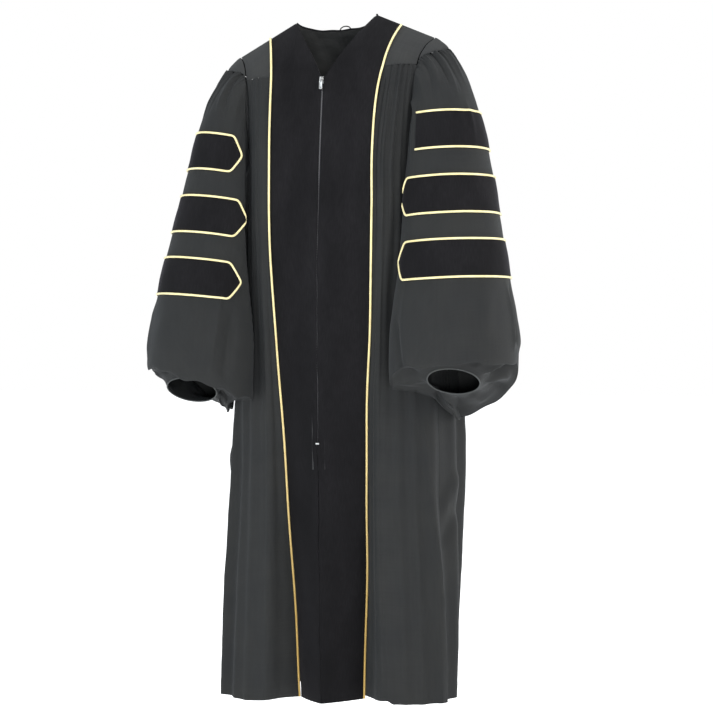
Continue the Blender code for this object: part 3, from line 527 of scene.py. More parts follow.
class BodyForm:
    """The surface of the grey body and the velvet panels, in places t along the outline and heights z."""

    def __init__(self) -> None:
        """Smooths the tables of the body and the armhole."""
        self.body = cubic_of(BODY)
        self.hole = cubic_of(ARMHOLE)

    def outline(self, z: Array, t: Array) -> Array:
        """The smooth outline without pleats, t 0 at the piping and 1 at the centre back."""
        row = self.body.at(z)
        zero = np.zeros_like(z)
        named = np.stack(
            [
                np.stack([row[:, 1], row[:, 2], z], 1),
                np.stack([row[:, 3], row[:, 4], z], 1),
                np.stack([row[:, 5], row[:, 6], z], 1),
                np.stack([row[:, 7], row[:, 8], z], 1),
                np.stack([zero, row[:, 9], z], 1),
                np.stack([-row[:, 7], row[:, 8], z], 1),
            ],
            1,
        )
        knots = np.array(OUTLINE_KNOTS + (2 * OUTLINE_KNOTS[4] - OUTLINE_KNOTS[3],))
        i = np.clip(np.searchsorted(knots, t, side="right") - 1, 0, len(knots) - 2)
        each = np.arange(len(t))
        low = np.maximum(i - 1, 0)
        far = np.minimum(i + 2, len(knots) - 1)
        span = (knots[i + 1] - knots[i])[:, None]
        share = (t - knots[i])[:, None] / span
        here = named[each, i]
        after = named[each, i + 1]
        start = (after - named[each, low]) * span / (knots[i + 1] - knots[low])[:, None]
        end = (named[each, far] - here) * span / (knots[far] - knots[i])[:, None]
        step = after - here
        bend = (start + end - 2 * step) * share + (3 * step - 2 * start - end)
        return here + (bend * share + start) * share

    def section(self, z: Array, t: Array) -> Array:
        """The grey body's section with its pleats."""
        step = 0.004
        run = self.outline(z, np.minimum(t + step, 1.0)) - self.outline(z, np.maximum(t - step, 0.0))
        out = unit(np.stack([run[:, 1], -run[:, 0], np.zeros_like(z)], 1))
        down = (FRONT_YOKE_Z - z) / (FRONT_YOKE_Z - HEM_Z)
        depth = np.zeros_like(z)
        for pleat in PLEATS:
            size = pleat.top + (pleat.hem - pleat.top) * ease(down)
            depth += size * np.exp(-(((t - pleat.at) / pleat.width) ** 2))
        return self.outline(z, t) + out * (depth * ease(t / 0.05))[:, None]

    def panel_section(self, z: Array, t: Array) -> Array:
        """The velvet panel's section, t 0 at the zip and 1 at the piping."""
        row = self.body.at(z)
        centre = np.stack([np.zeros_like(z), row[:, 0], z], 1)
        edge = np.stack([row[:, 1], row[:, 2], z], 1)
        across = edge - centre
        out = unit(np.stack([across[:, 1], -across[:, 0], np.zeros_like(z)], 1))
        return centre + across * t[:, None] + out * (PANEL_BULGE * np.sin(math.pi * t))[:, None]

    def armhole(self, angle: Array) -> Array:
        """The armhole's edge at angles round the sleeve."""
        return self.hole.at(np.mod(angle, 360.0))

    def panel_top(self, t: Array) -> Array:
        """Where a panel's column ends: on the neckline, then on the shoulder line."""
        share = np.clip(t / NECK_SHARE, 0, 1)
        bow = np.array((-0.004, -0.006, 0.0)) * np.sin(math.pi * share)[:, None]
        neck = blend(NECK_FOOT, NECK_POINT, share) + bow
        shoulder = blend(NECK_POINT, PANEL_SHOULDER, np.clip((t - NECK_SHARE) / (1 - NECK_SHARE), 0, 1))
        return np.where((t <= NECK_SHARE)[:, None], neck, shoulder)

    def panel_edge(self, z: Array) -> Array:
        """The panel's outer edge, which the piping follows."""
        one = np.ones_like(z)
        return self.hang(self.panel_section, self.panel_top(one), one, z, PANEL_DRAW)

    def front_yoke_seam(self, t: Array) -> Array:
        """The front yoke's seam, from the piping to the armhole."""
        share = t / FRONT_ARMHOLE
        arch = np.array((0.0, -0.006, 0.002)) * np.sin(math.pi * share)[:, None]
        inner = self.panel_edge(np.array([FRONT_YOKE_Z]))
        return blend(inner, self.armhole(np.array([270.0])), share) + arch

    def back_yoke_seam(self, t: Array) -> Array:
        """The back yoke's seam, from the armhole to the centre back."""
        share = (t - BACK_ARMHOLE) / (1 - BACK_ARMHOLE)
        bow = np.array((0.0, 0.030, 0.0)) * (np.sin(0.5 * math.pi * share) * (1 - share))[:, None]
        return blend(self.armhole(np.array([90.0])), BACK_YOKE_CENTRE[None], share) + bow

    def skirt_top(self, t: Array) -> Array:
        """Where a grey column ends: on a yoke seam or on the armhole."""
        share = (t - FRONT_ARMHOLE) / (BACK_ARMHOLE - FRONT_ARMHOLE)
        hole = self.armhole(270 - 180 * np.clip(share, 0, 1))
        front = self.front_yoke_seam(np.minimum(t, FRONT_ARMHOLE))
        back = self.back_yoke_seam(np.maximum(t, BACK_ARMHOLE))
        made = np.where((t <= FRONT_ARMHOLE)[:, None], front, hole)
        return np.where((t >= BACK_ARMHOLE)[:, None], back, made)

    def hang(self, section: Callable, top: Array, t: Array, z: Array, draw: float) -> Array:
        """Points at a height: their section, drawn to their top edge above JOIN_Z."""
        share = np.clip((z - JOIN_Z) / (top[:, 2] - JOIN_Z), 0, None)
        pull = top - section(top[:, 2], t)
        pull[:, 2] = 0.0
        return section(z, t) + pull * (share**draw)[:, None]

    def skirt(self, t: Array, z: Array) -> Array:
        """Points of the grey body, at or under their top edge."""
        top = self.skirt_top(t)
        return self.hang(self.section, top, t, np.minimum(z, top[:, 2]), SKIRT_DRAW)

    def panel(self, t: Array, z: Array) -> Array:
        """Points of a velvet panel, at or under their top edge."""
        top = self.panel_top(t)
        return self.hang(self.panel_section, top, t, np.minimum(z, top[:, 2]), PANEL_DRAW)


def column_heights(top_z: float, upper: int, lower: int, near: Sequence[float]) -> Array:
    """Heights down a column, with extra ones just under its top edge and above the hem."""
    heights = set(np.round(spread(top_z, JOIN_Z, upper), 6)) | set(np.round(spread(JOIN_Z, HEM_Z, lower), 6))
    made = sorted(heights, reverse=True)
    head = [top_z - d for d in near]
    foot = [HEM_Z + d for d in near]
    return np.array(sorted(made + head + foot, reverse=True))


FORM = BodyForm()


# ---------------------------------------------------------------- the sleeve's form

REACH_Z = spread(-0.84, 0.0, 84)
REACH_Y = spread(-0.20, 0.16, 90)


def reach_table() -> Array:
    """How far the body reaches sideways, by height and depth, for sleeves to clear."""
    places = spread(0.0, 1.0, 60)
    top = FORM.skirt_top(places)
    table = np.zeros((len(REACH_Z), len(REACH_Y)))
    for row, z in enumerate(REACH_Z):
        points = FORM.skirt(places, np.full_like(places, z))
        points = points[top[:, 2] >= z]
        for k, y in enumerate(REACH_Y):
            near = points[np.abs(points[:, 1] - y) <= 1.4 * BODY_CLEARANCE, 0]
            table[row, k] = near.max() if len(near) else 0.0
    return table


REACH = reach_table()


def body_reach(z: Array, y: Array) -> Array:
    """The table of reach, read between its places."""
    i = np.clip((z - REACH_Z[0]) / (REACH_Z[1] - REACH_Z[0]), 0, len(REACH_Z) - 1.001)
    k = np.clip((y - REACH_Y[0]) / (REACH_Y[1] - REACH_Y[0]), 0, len(REACH_Y) - 1.001)
    a, b = i.astype(int), k.astype(int)
    s, t = i - a, k - b
    low = REACH[a, b] * (1 - t) + REACH[a, b + 1] * t
    high = REACH[a + 1, b] * (1 - t) + REACH[a + 1, b + 1] * t
    return low * (1 - s) + high * s


def sleeve_levels() -> list[float]:
    """The sleeve's named rows under the armhole: every bar has one at its top, middle and foot."""
    levels = list(SLEEVE_TOP_ROWS)
    for top in BAR_TOPS:
        levels += [top, top - BAR_HEIGHT / 2, top - BAR_HEIGHT]
    return levels + list(SLEEVE_LOW_ROWS)


LAST_ROW = len(sleeve_levels()) + 1.0
FIRST_BAR_ROW = 1 + len(SLEEVE_TOP_ROWS)
SLEEVE_ACROSS = 0.10  # a sleeve's folds are laid in metres round a circle of this radius


def sleeve_line(*points: tuple[float, float]) -> tuple[tuple[float, float], ...]:
    """A fold's line from (angle, height) on the sleeve; angles from -180 to 180, 0 on the outside."""
    return tuple((math.radians(a) * SLEEVE_ACROSS, -z) for a, z in points)


LEFT_SLEEVE_FOLDS = (
    # long folds under the fluting
    Fold(sleeve_line((-50, -0.040), (-52, -0.075), (-55, -0.150)), 0.0042, -0.0042, 1.5, 0.0, 0.5),
    Fold(sleeve_line((-42, -0.045), (-43, -0.090), (-46, -0.165)), 0.0070, 0.0042, 1.8, 0.1, 0.5),
    Fold(sleeve_line((-33, -0.045), (-32, -0.085), (-33, -0.150)), 0.0048, -0.0026, 1.7, 0.0, 0.6),
    Fold(sleeve_line((-66, -0.060), (-72, -0.100), (-80, -0.165)), 0.0080, 0.0040, 1.8, 0.1, 0.5),
    Fold(sleeve_line((-80, -0.075), (-86, -0.110), (-92, -0.165)), 0.0060, -0.0036, 1.7, 0.1, 0.5),
    Fold(sleeve_line((-98, -0.085), (-104, -0.120), (-110, -0.170)), 0.0070, 0.0030, 1.8, 0.1, 0.5),
    Fold(sleeve_line((-18, -0.040), (-16, -0.080), (-14, -0.140)), 0.0075, 0.0030, 1.8, 0.1, 0.6),
    Fold(sleeve_line((-4, -0.038), (-2, -0.075), (1, -0.135)), 0.0050, -0.0030, 1.6, 0.0, 0.6),
    Fold(sleeve_line((14, -0.040), (17, -0.080), (20, -0.150)), 0.0070, 0.0034, 1.8, 0.1, 0.5),
    Fold(sleeve_line((32, -0.045), (38, -0.090), (42, -0.165)), 0.0055, -0.0034, 1.6, 0.0, 0.5),
    Fold(sleeve_line((52, -0.055), (60, -0.100), (66, -0.170)), 0.0075, 0.0036, 1.8, 0.1, 0.5),
    Fold(sleeve_line((70, -0.070), (80, -0.115), (88, -0.180)), 0.0060, -0.0032, 1.6, 0.0, 0.5),
    # the fold that hides the first bar's inner end, and the step in its top edge
    Fold(sleeve_line((-128, -0.120), (-127, -0.200), (-129, -0.285)), 0.0060, 0.0045, 1.5, 0.3, 0.4),
    Fold(sleeve_line((-30, -0.150), (-31, -0.200), (-33, -0.270)), 0.0080, 0.0030, 1.7, 0.3, 0.6),
    # the long fold down the outside, where the back layer shows past the front one
    Fold(sleeve_line((-10, -0.500), (-7, -0.570), (-10, -0.645)), 0.0060, 0.0050, 1.2, 0.4, 0.2),
    Fold(sleeve_line((2, -0.490), (6, -0.560), (4, -0.640)), 0.0090, -0.0085, 1.6, 0.4, 0.2),
    Fold(sleeve_line((24, -0.500), (26, -0.580), (24, -0.650)), 0.0160, 0.0060, 2.0, 0.4, 0.2),
    # soft lower folds
    Fold(sleeve_line((-38, -0.505), (-44, -0.570), (-52, -0.640)), 0.016, 0.0030, 2.0, 0.3, 0.4),
    Fold(sleeve_line((-70, -0.520), (-74, -0.590), (-80, -0.650)), 0.020, 0.0026, 2.0, 0.3, 0.4),
    Fold(sleeve_line((-128, -0.500), (-124, -0.590), (-118, -0.660)), 0.012, 0.0050, 1.7, 0.3, 0.2),
    Fold(sleeve_line((-140, -0.560), (-134, -0.620), (-128, -0.680)), 0.008, -0.0060, 1.7, 0.3, 0.2),
    Fold(sleeve_line((60, -0.480), (66, -0.580), (62, -0.700)), 0.020, 0.0050, 2.0, 0.3, 0.3),
    Fold(sleeve_line((95, -0.500), (104, -0.600), (98, -0.740)), 0.016, -0.0060, 1.8, 0.3, 0.3),
    Fold(sleeve_line((125, -0.520), (130, -0.620), (134, -0.740)), 0.020, 0.0055, 2.0, 0.3, 0.3),
)
RIGHT_SLEEVE_FOLDS = (
    Fold(sleeve_line((-38, -0.045), (-50, -0.085), (-62, -0.150)), 0.0050, -0.0044, 1.6, 0.0, 0.5),
    Fold(sleeve_line((-28, -0.050), (-34, -0.095), (-40, -0.168)), 0.0070, 0.0044, 1.7, 0.1, 0.5),
    Fold(sleeve_line((-60, -0.055), (-74, -0.100), (-88, -0.165)), 0.0080, 0.0042, 1.8, 0.1, 0.5),
    Fold(sleeve_line((-70, -0.065), (-88, -0.115), (-104, -0.170)), 0.0060, -0.0048, 1.6, 0.0, 0.5),
    Fold(sleeve_line((-92, -0.080), (-108, -0.125), (-122, -0.180)), 0.0070, 0.0036, 1.8, 0.1, 0.5),
    Fold(sleeve_line((-16, -0.045), (-20, -0.090), (-24, -0.165)), 0.0050, -0.0036, 1.6, 0.0, 0.5),
    Fold(sleeve_line((-6, -0.042), (-6, -0.090), (-8, -0.160)), 0.0070, 0.0034, 1.8, 0.1, 0.6),
    Fold(sleeve_line((12, -0.040), (16, -0.090), (16, -0.150)), 0.0055, -0.0030, 1.6, 0.0, 0.6),
    Fold(sleeve_line((36, -0.048), (42, -0.095), (46, -0.165)), 0.0075, 0.0036, 1.8, 0.1, 0.5),
    Fold(sleeve_line((62, -0.062), (72, -0.110), (80, -0.175)), 0.0060, -0.0034, 1.6, 0.0, 0.5),
    Fold(sleeve_line((-20, -0.500), (-26, -0.570), (-38, -0.640)), 0.0110, 0.0040, 1.7, 0.3, 0.3),
    Fold(sleeve_line((-4, -0.500), (-8, -0.560), (-16, -0.620)), 0.0120, -0.0036, 1.8, 0.3, 0.3),
    Fold(sleeve_line((-100, -0.500), (-98, -0.580), (-90, -0.650)), 0.018, 0.0036, 2.0, 0.3, 0.4),
    Fold(sleeve_line((-128, -0.490), (-124, -0.590), (-120, -0.680)), 0.010, 0.0055, 1.5, 0.3, 0.2),
    Fold(sleeve_line((-142, -0.520), (-138, -0.610), (-134, -0.690)), 0.010, -0.0065, 1.7, 0.3, 0.2),
    Fold(sleeve_line((-60, -0.530), (-64, -0.590), (-70, -0.640)), 0.020, 0.0024, 2.0, 0.3, 0.4),
    Fold(sleeve_line((40, -0.480), (46, -0.570), (44, -0.650)), 0.018, 0.0050, 2.0, 0.3, 0.3),
    Fold(sleeve_line((80, -0.500), (86, -0.600), (82, -0.700)), 0.016, -0.0060, 1.8, 0.3, 0.3),
    Fold(sleeve_line((118, -0.500), (122, -0.600), (126, -0.710)), 0.020, 0.0055, 2.0, 0.3, 0.3),
)
FLUTES = 58.0  # flutes round the whole sleeve's head
FLUTE_HEIGHT = 0.0017
FLUTE_LENGTH = 0.012


@dataclass
class SleeveForm:
    """The surface of one sleeve, in angles and rows, worked out on the wearer's left and mirrored."""

    side: Side
    tube: Cubic = field(default_factory=lambda: cubic_of(SLEEVE))
    mouth: Cubic = field(default_factory=lambda: cubic_of(MOUTH))

    def heights(self, angle: Array) -> Array:
        """The height of every named row at each angle, armhole and mouth among them."""
        top = FORM.armhole(angle)[:, 2]
        made = [top]
        turn = np.radians(angle + 30)
        for index, level in enumerate(sleeve_levels()):
            droop = np.zeros_like(angle)
            if self.side is Side.RIGHT and level >= BAR_TOPS[-1] - BAR_HEIGHT:
                droop = RIGHT_SLOPE * (0.5 - 0.5 * np.cos(turn))
            low = level - droop
            share = (top - low) / (top - SLEEVE_JOIN_Z)
            squeezed = top + (SLEEVE_JOIN_Z - top) * np.maximum(share, ROW_SQUEEZE * (index + 1))
            made.append(np.where(low <= SLEEVE_JOIN_Z, low, squeezed))
        column = 0 if self.side is Side.LEFT else 1
        made.append(MOUTH_Z - self.mouth.at(np.mod(angle, 360.0))[:, column])
        return np.stack(made, 1)

    def tube_point(self, z: Array, angle: Array) -> Array:
        """A point of the sleeve's tube at a height."""
        row = self.tube.at(z)
        turn = np.radians(angle)
        x = row[:, 2] * np.cos(turn)
        y = row[:, 3] * np.sin(turn) + row[:, 4] * x
        return np.stack([row[:, 0] + x, row[:, 1] + y, z], 1)

    def base(self, angle: Array, row: Array) -> Array:
        """The sleeve without folds.

        Args:
            angle: degrees round the sleeve, 0 outside, 90 behind, 180 at the body, 270 in front.
            row: 0 at the armhole, whole numbers at the named rows, LAST_ROW at the mouth.

        Returns:
            One point an angle and row, before it is mirrored and leaned.
        """
        heights = self.heights(angle)
        i = np.clip(row.astype(int), 0, int(LAST_ROW) - 1)
        each = np.arange(len(angle))
        part = row - i
        z = heights[each, i] * (1 - part) + heights[each, i + 1] * part
        top = FORM.armhole(angle) + np.array((ARMHOLE_GAP, 0.0, 0.0))
        share = np.clip((top[:, 2] - z) / (top[:, 2] - SLEEVE_JOIN_Z), 0, 1)
        draw = CROWN_DRAW + UNDERARM_DRAW * (0.5 - 0.5 * np.cos(np.radians(angle)))
        pull = top - self.tube_point(top[:, 2], angle)
        pull[:, 2] = 0.0
        point = self.tube_point(z, angle) + pull * ((1 - share) ** draw)[:, None]
        gap = ARMHOLE_GAP + (BODY_CLEARANCE - ARMHOLE_GAP) * ease(share * 2)
        at_top = (share < 1e-6) & (row < 1e-6)
        wide = np.maximum(point[:, 0], body_reach(z, point[:, 1]) + gap)
        point[:, 0] = np.where(at_top, point[:, 0], wide)
        return point

    def distance_row(self, angle: float, distance: float) -> float:
        """The row at a distance down a column from the armhole."""
        rows = spread(0.0, 4.0, 80)
        points = self.base(np.full_like(rows, angle), rows)
        run = np.concatenate([[0.0], np.cumsum(np.linalg.norm(np.diff(points, axis=0), axis=1))])
        return float(np.interp(distance, run, rows))

    def cap_length(self, angle: float) -> float:
        """The crescent's length at an angle, CAP_LENGTH at the shoulder's top."""
        from_top = min(angle % 360, 360 - angle % 360)
        return CAP_LENGTH * math.cos(0.5 * math.pi * from_top / CAP_REACH) if from_top < CAP_REACH else 0.0

    def relief(self, angle: Array, points: Array, below: Array) -> Array:
        """How far folds and fluting move the sleeve out.

        Args:
            angle: degrees round the sleeve.
            points: the sleeve's points without folds.
            below: each point's distance below the crescent's seam.

        Returns:
            The outward move of each point.
        """
        turn = np.mod(angle + 180.0, 360.0) - 180.0
        across = np.radians(turn) * SLEEVE_ACROSS
        folds = LEFT_SLEEVE_FOLDS if self.side is Side.LEFT else RIGHT_SLEEVE_FOLDS
        made = relief_of(folds, across, -points[:, 2])
        crown = ease((CAP_REACH + 22 - np.abs(turn)) / 22)
        uneven = 1.0 + 0.5 * np.sin(np.radians(turn * 7.3 + 40)) * np.cos(np.radians(turn * 3.1))
        flute = np.sin(np.radians(turn) * FLUTES + 1.3 * np.sin(np.radians(turn * 5)))
        fading = np.exp(-np.maximum(below, 0.0) / (FLUTE_LENGTH * uneven))
        made += FLUTE_HEIGHT * flute * fading * crown * ease((below + 0.002) / 0.004)
        made += 0.0012 * wobble(points, 0.055, 3.1 * self.side.value)
        return made

    def surface(self, angle: Array, row: Array, lift: float = 0.0) -> tuple[Array, Array]:
        """Points of the finished sleeve and its normals.

        Args:
            angle: degrees round the sleeve.
            row: places down the sleeve.
            lift: how far out of the cloth the points lie.

        Returns:
            The points and the outward normals, on the wearer's left.
        """
        base = self.base(angle, row)
        turn = self.base(angle + 0.75, row) - self.base(angle - 0.75, row)
        lower = self.base(angle, np.minimum(row + 0.05, LAST_ROW))
        down = lower - self.base(angle, np.maximum(row - 0.05, 0.0))
        out = unit(np.cross(down, turn))
        cap = np.array([self.cap_length(a) for a in angle])
        start = self.base(angle, np.zeros_like(row))
        below = np.linalg.norm(base - start, axis=1) - cap
        return base + out * (self.relief(angle, base, below) + lift)[:, None], out


# ---------------------------------------------------------------- finishes


class Shader:
    """A material under construction: a Principled shader and short calls for the nodes before it."""

    def __init__(self, name: str) -> None:
        """Makes the material with its shader."""
        self.material = bpy.data.materials.new(name)
        self.material.use_nodes = True
        self.tree = self.material.node_tree
        self.surface = self.tree.nodes["Principled BSDF"]
        self.places = self.tree.nodes.new("ShaderNodeTexCoord")

    def set(self, **values: object) -> None:
        """Sets sockets of the shader by name, with _ for a space."""
        for name, value in values.items():
            self.surface.inputs[name.replace("_", " ")].default_value = value

    def link(self, start: object, end: object) -> None:
        """Joins two sockets."""
        self.tree.links.new(start, end)

    def coords(self, kind: str, scale: Sequence[float]) -> object:
        """Coordinates of a kind, scaled."""
        mapping = self.tree.nodes.new("ShaderNodeMapping")
        mapping.inputs["Scale"].default_value = scale
        self.link(self.places.outputs[kind], mapping.inputs["Vector"])
        return mapping.outputs["Vector"]

    def noise(self, vector: object, scale: float, detail: float = 3.0, rough: float = 0.5) -> object:
        """A noise pattern's value."""
        made = self.tree.nodes.new("ShaderNodeTexNoise")
        made.inputs["Scale"].default_value = scale
        made.inputs["Detail"].default_value = detail
        made.inputs["Roughness"].default_value = rough
        self.link(vector, made.inputs["Vector"])
        return made.outputs["Fac"]

    def wave(self, vector: object, scale: float, direction: str, distort: float = 0.0) -> object:
        """A wave pattern's value along one axis."""
        made = self.tree.nodes.new("ShaderNodeTexWave")
        made.bands_direction = direction
        made.inputs["Scale"].default_value = scale
        made.inputs["Distortion"].default_value = distort
        self.link(vector, made.inputs["Vector"])
        return made.outputs["Fac"]

    def math(self, kind: str, first: object, second: object) -> object:
        """Arithmetic on two sockets or numbers."""
        made = self.tree.nodes.new("ShaderNodeMath")
        made.operation = kind
        for index, value in enumerate((first, second)):
            if isinstance(value, (int, float)):
                made.inputs[index].default_value = value
            else:
                self.link(value, made.inputs[index])
        return made.outputs[0]

    def ramp(self, factor: object, stops: Sequence[tuple[float, tuple[float, float, float]]]) -> object:
        """A colour ramp over a value."""
        made = self.tree.nodes.new("ShaderNodeValToRGB")
        line = made.color_ramp
        while len(line.elements) < len(stops):
            line.elements.new(0.5)
        for element, (place, colour) in zip(line.elements, stops):
            element.position = place
            element.color = (*colour, 1.0)
        self.link(factor, made.inputs["Fac"])
        return made.outputs["Color"]

    def mix(self, factor: object, first: object, second: object, kind: str = "MIX") -> object:
        """Two colours mixed by a value."""
        made = self.tree.nodes.new("ShaderNodeMix")
        made.data_type = "RGBA"
        made.blend_type = kind
        for socket, value in ((made.inputs[0], factor), (made.inputs[6], first), (made.inputs[7], second)):
            if isinstance(value, (int, float)):
                socket.default_value = value
            elif isinstance(value, tuple):
                socket.default_value = (*value, 1.0)
            else:
                self.link(value, socket)
        return made.outputs[2]

    def range(self, value: object, low: float, high: float, new_low: float, new_high: float) -> object:
        """A value's range turned into another."""
        made = self.tree.nodes.new("ShaderNodeMapRange")
        for index, number in enumerate((low, high, new_low, new_high)):
            made.inputs[index + 1].default_value = number
        self.link(value, made.inputs[0])
        return made.outputs[0]

    def height(self) -> object:
        """The height of a point in the gown's frame."""
        split = self.tree.nodes.new("ShaderNodeSeparateXYZ")
        self.link(self.places.outputs["Object"], split.inputs[0])
        return split.outputs["Z"]

    def bump(self, value: object, strength: float, distance: float, under: object = None) -> object:
        """Relief from a value, on top of other relief."""
        made = self.tree.nodes.new("ShaderNodeBump")
        made.inputs["Strength"].default_value = strength
        made.inputs["Distance"].default_value = distance
        self.link(value, made.inputs["Height"])
        if under is not None:
            self.link(under, made.inputs["Normal"])
        return made.outputs["Normal"]

    def finish(
        self, colour: object = None, rough: object = None, normal: object = None
    ) -> bpy.types.Material:
        """Joins what was made to the shader."""
        for value, name in ((colour, "Base Color"), (rough, "Roughness"), (normal, "Normal")):
            if value is not None:
                self.link(value, self.surface.inputs[name])
        return self.material


@dataclass(frozen=True)
class GreyCloth:
    """Charcoal gown cloth: a fine twill with faint slubs and a low sheen."""

    name: str
    colour: tuple[float, float, float]
    slot: str = "grey_cloth"

    def make(self) -> bpy.types.Material:
        """The cloth's material, its weave in the piece's own UV map, in metres."""
        shader = Shader(self.name)
        threads = shader.coords("UV", (1.0, 1.0, 1.0))
        slubs = shader.noise(shader.coords("UV", (260.0, 14.0, 1.0)), 1.0, 4.0, 0.6)
        cross = shader.noise(shader.coords("UV", (16.0, 300.0, 1.0)), 1.0, 3.0, 0.6)
        clouds = shader.noise(shader.coords("Object", (1.0, 1.0, 1.0)), 14.0, 2.0)
        grain = shader.noise(threads, 1400.0, 2.0, 0.7)
        fibre = shader.math("ADD", slubs, cross)
        base = self.colour
        light = tuple(min(1.0, c * 1.22) for c in base)
        dark = tuple(c * 0.84 for c in base)
        colour = shader.ramp(shader.math("MULTIPLY", fibre, 0.5), ((0.34, dark), (0.66, light)))
        tone = shader.ramp(clouds, ((0.3, (0.90, 0.91, 0.93)), (0.7, (1.08, 1.07, 1.04))))
        colour = shader.mix(1.0, colour, tone, "MULTIPLY")
        twill = shader.wave(shader.coords("UV", (1.0, 1.0, 1.0)), 480.0, "DIAGONAL", 0.6)
        normal = shader.bump(twill, 0.35, 0.0003)
        normal = shader.bump(grain, 0.25, 0.0004, normal)
        normal = shader.bump(fibre, 0.30, 0.0006, normal)
        rough = shader.range(fibre, 0.6, 1.4, 0.70, 0.86)
        shader.set(Sheen_Weight=0.05, Sheen_Roughness=0.45, Specular_IOR_Level=0.16)
        shader.surface.inputs["Sheen Tint"].default_value = (0.80, 0.86, 0.92, 1.0)
        return shader.finish(colour, rough, normal)


@dataclass(frozen=True)
class BlackVelvet:
    """Black velvet: a short pile that turns a little brighter where it is brushed or seen edge on, and
    painted darker towards the hem as painted shade.
    """

    name: str = "velvet_pile"
    slot: str = "black_velvet"

    def make(self) -> bpy.types.Material:
        """The velvet's material."""
        shader = Shader(self.name)
        pile = shader.noise(shader.coords("Object", (1.0, 1.0, 1.0)), 900.0, 3.0, 0.7)
        brushed = shader.noise(shader.coords("Object", (1.0, 1.0, 0.35)), 22.0, 3.0, 0.55)
        fine = shader.noise(shader.coords("UV", (420.0, 60.0, 1.0)), 1.0, 3.0, 0.6)
        shade = shader.ramp(brushed, ((0.30, (0.0048, 0.0046, 0.0054)), (0.72, (0.0098, 0.0094, 0.0106))))
        # painted shade: the velvet's colour is darkened towards the hem, standing in for the light falling
        # off lower down
        down = shader.range(shader.height(), -1.30, -0.20, 0.72, 1.06)
        tint = shader.ramp(down, ((0.0, (0.0, 0.0, 0.0)), (1.0, (1.0, 1.0, 1.0))))
        colour = shader.mix(1.0, shade, tint, "MULTIPLY")
        specks = shader.ramp(fine, ((0.4, (0.86, 0.86, 0.86)), (0.66, (1.2, 1.2, 1.2))))
        colour = shader.mix(1.0, colour, specks, "MULTIPLY")
        normal = shader.bump(pile, 0.5, 0.0006)
        normal = shader.bump(brushed, 0.2, 0.0020, normal)
        rough = shader.range(brushed, 0.3, 0.7, 0.84, 0.98)
        shader.set(Sheen_Weight=0.10, Sheen_Roughness=0.32, Specular_IOR_Level=0.10)
        shader.surface.inputs["Sheen Tint"].default_value = (0.62, 0.60, 0.70, 1.0)
        return shader.finish(colour, rough, normal)


@dataclass(frozen=True)
class GoldCord:
    """Satin gold piping: pale and bright above, with painted shade turning it a deeper, darker gold towards
    the hem.
    """

    name: str
    pale: tuple[float, float, float]
    # deep: the painted-shade colour the cord darkens to towards the hem
    deep: tuple[float, float, float]
    slot: str = "gold_piping"

    def make(self) -> bpy.types.Material:
        """The cord's material, its wrapped threads in the cord's own UV map."""
        shader = Shader(self.name)
        threads = shader.wave(shader.coords("UV", (1.0, 0.0042, 1.0)), 260.0, "DIAGONAL", 0.4)
        worn = shader.noise(shader.coords("Object", (1.0, 1.0, 1.0)), 60.0, 3.0)
        # painted shade: the cord's colour runs from its pale gold above to the darker gold lower down, where
        # less light falls
        down = shader.range(shader.height(), -1.15, -0.45, 0.0, 1.0)
        colour = shader.ramp(down, ((0.0, self.deep), (1.0, self.pale)))
        # painted shade in the grooves between the wrapped threads
        shade = shader.ramp(threads, ((0.15, (0.74, 0.68, 0.55)), (0.6, (1.0, 1.0, 1.0))))
        colour = shader.mix(0.55, colour, shade, "MULTIPLY")
        patch = shader.ramp(worn, ((0.3, (0.90, 0.87, 0.80)), (0.65, (1.04, 1.04, 1.04))))
        colour = shader.mix(1.0, colour, patch, "MULTIPLY")
        normal = shader.bump(threads, 0.55, 0.0005)
        rough = shader.range(worn, 0.3, 0.7, 0.36, 0.52)
        shader.set(Sheen_Weight=0.2, Sheen_Roughness=0.4, Specular_IOR_Level=0.5)
        return shader.finish(colour, rough, normal)


@dataclass(frozen=True)
class Metal:
    """Plain silver zip metal, slightly worn."""

    name: str = "zip_silver"
    slot: str = "zip_metal"

    def make(self) -> bpy.types.Material:
        """The metal's material."""
        shader = Shader(self.name)
        wear = shader.noise(shader.coords("Object", (1.0, 1.0, 1.0)), 500.0, 4.0)
        colour = shader.ramp(wear, ((0.3, (0.30, 0.30, 0.31)), (0.7, (0.62, 0.62, 0.61))))
        normal = shader.bump(wear, 0.15, 0.0003)
        shader.set(Metallic=1.0)
        return shader.finish(colour, shader.range(wear, 0.3, 0.7, 0.22, 0.40), normal)


@dataclass(frozen=True)
class ZipCloth:
    """Woven zip tape with its ribs."""

    name: str
    colour: tuple[float, float, float]
    slot: str = "zip_tape"

    def make(self) -> bpy.types.Material:
        """The tape's material."""
        shader = Shader(self.name)
        ribs = shader.wave(shader.coords("UV", (1.0, 1.0, 1.0)), 700.0, "X", 0.3)
        fuzz = shader.noise(shader.coords("Object", (1.0, 1.0, 1.0)), 1200.0, 2.0)
        dark = tuple(c * 0.6 for c in self.colour)
        woven = shader.math("MULTIPLY", shader.math("ADD", ribs, fuzz), 0.5)
        colour = shader.ramp(woven, ((0.2, dark), (0.7, self.colour)))
        shader.set(Roughness=0.8)
        return shader.finish(colour, None, shader.bump(ribs, 0.4, 0.0003))


GREY = GreyCloth("gown_cloth", (0.0160, 0.0166, 0.0170))
# painted light: the same grey cloth made lighter for the up-facing yokes and shoulder caps, standing in for
# the top light they catch
TOP_LIT_GREY = GreyCloth("top_lit_cloth", (0.0262, 0.0268, 0.0272))
# painted highlight: the same grey cloth made much lighter for the rolled wrist hem, standing in for the light
# caught along its edge
HIGHLIT_HEM_GREY = GreyCloth("hem_cloth_painted_highlight", (0.055, 0.058, 0.058))
VELVET_PILE = BlackVelvet()
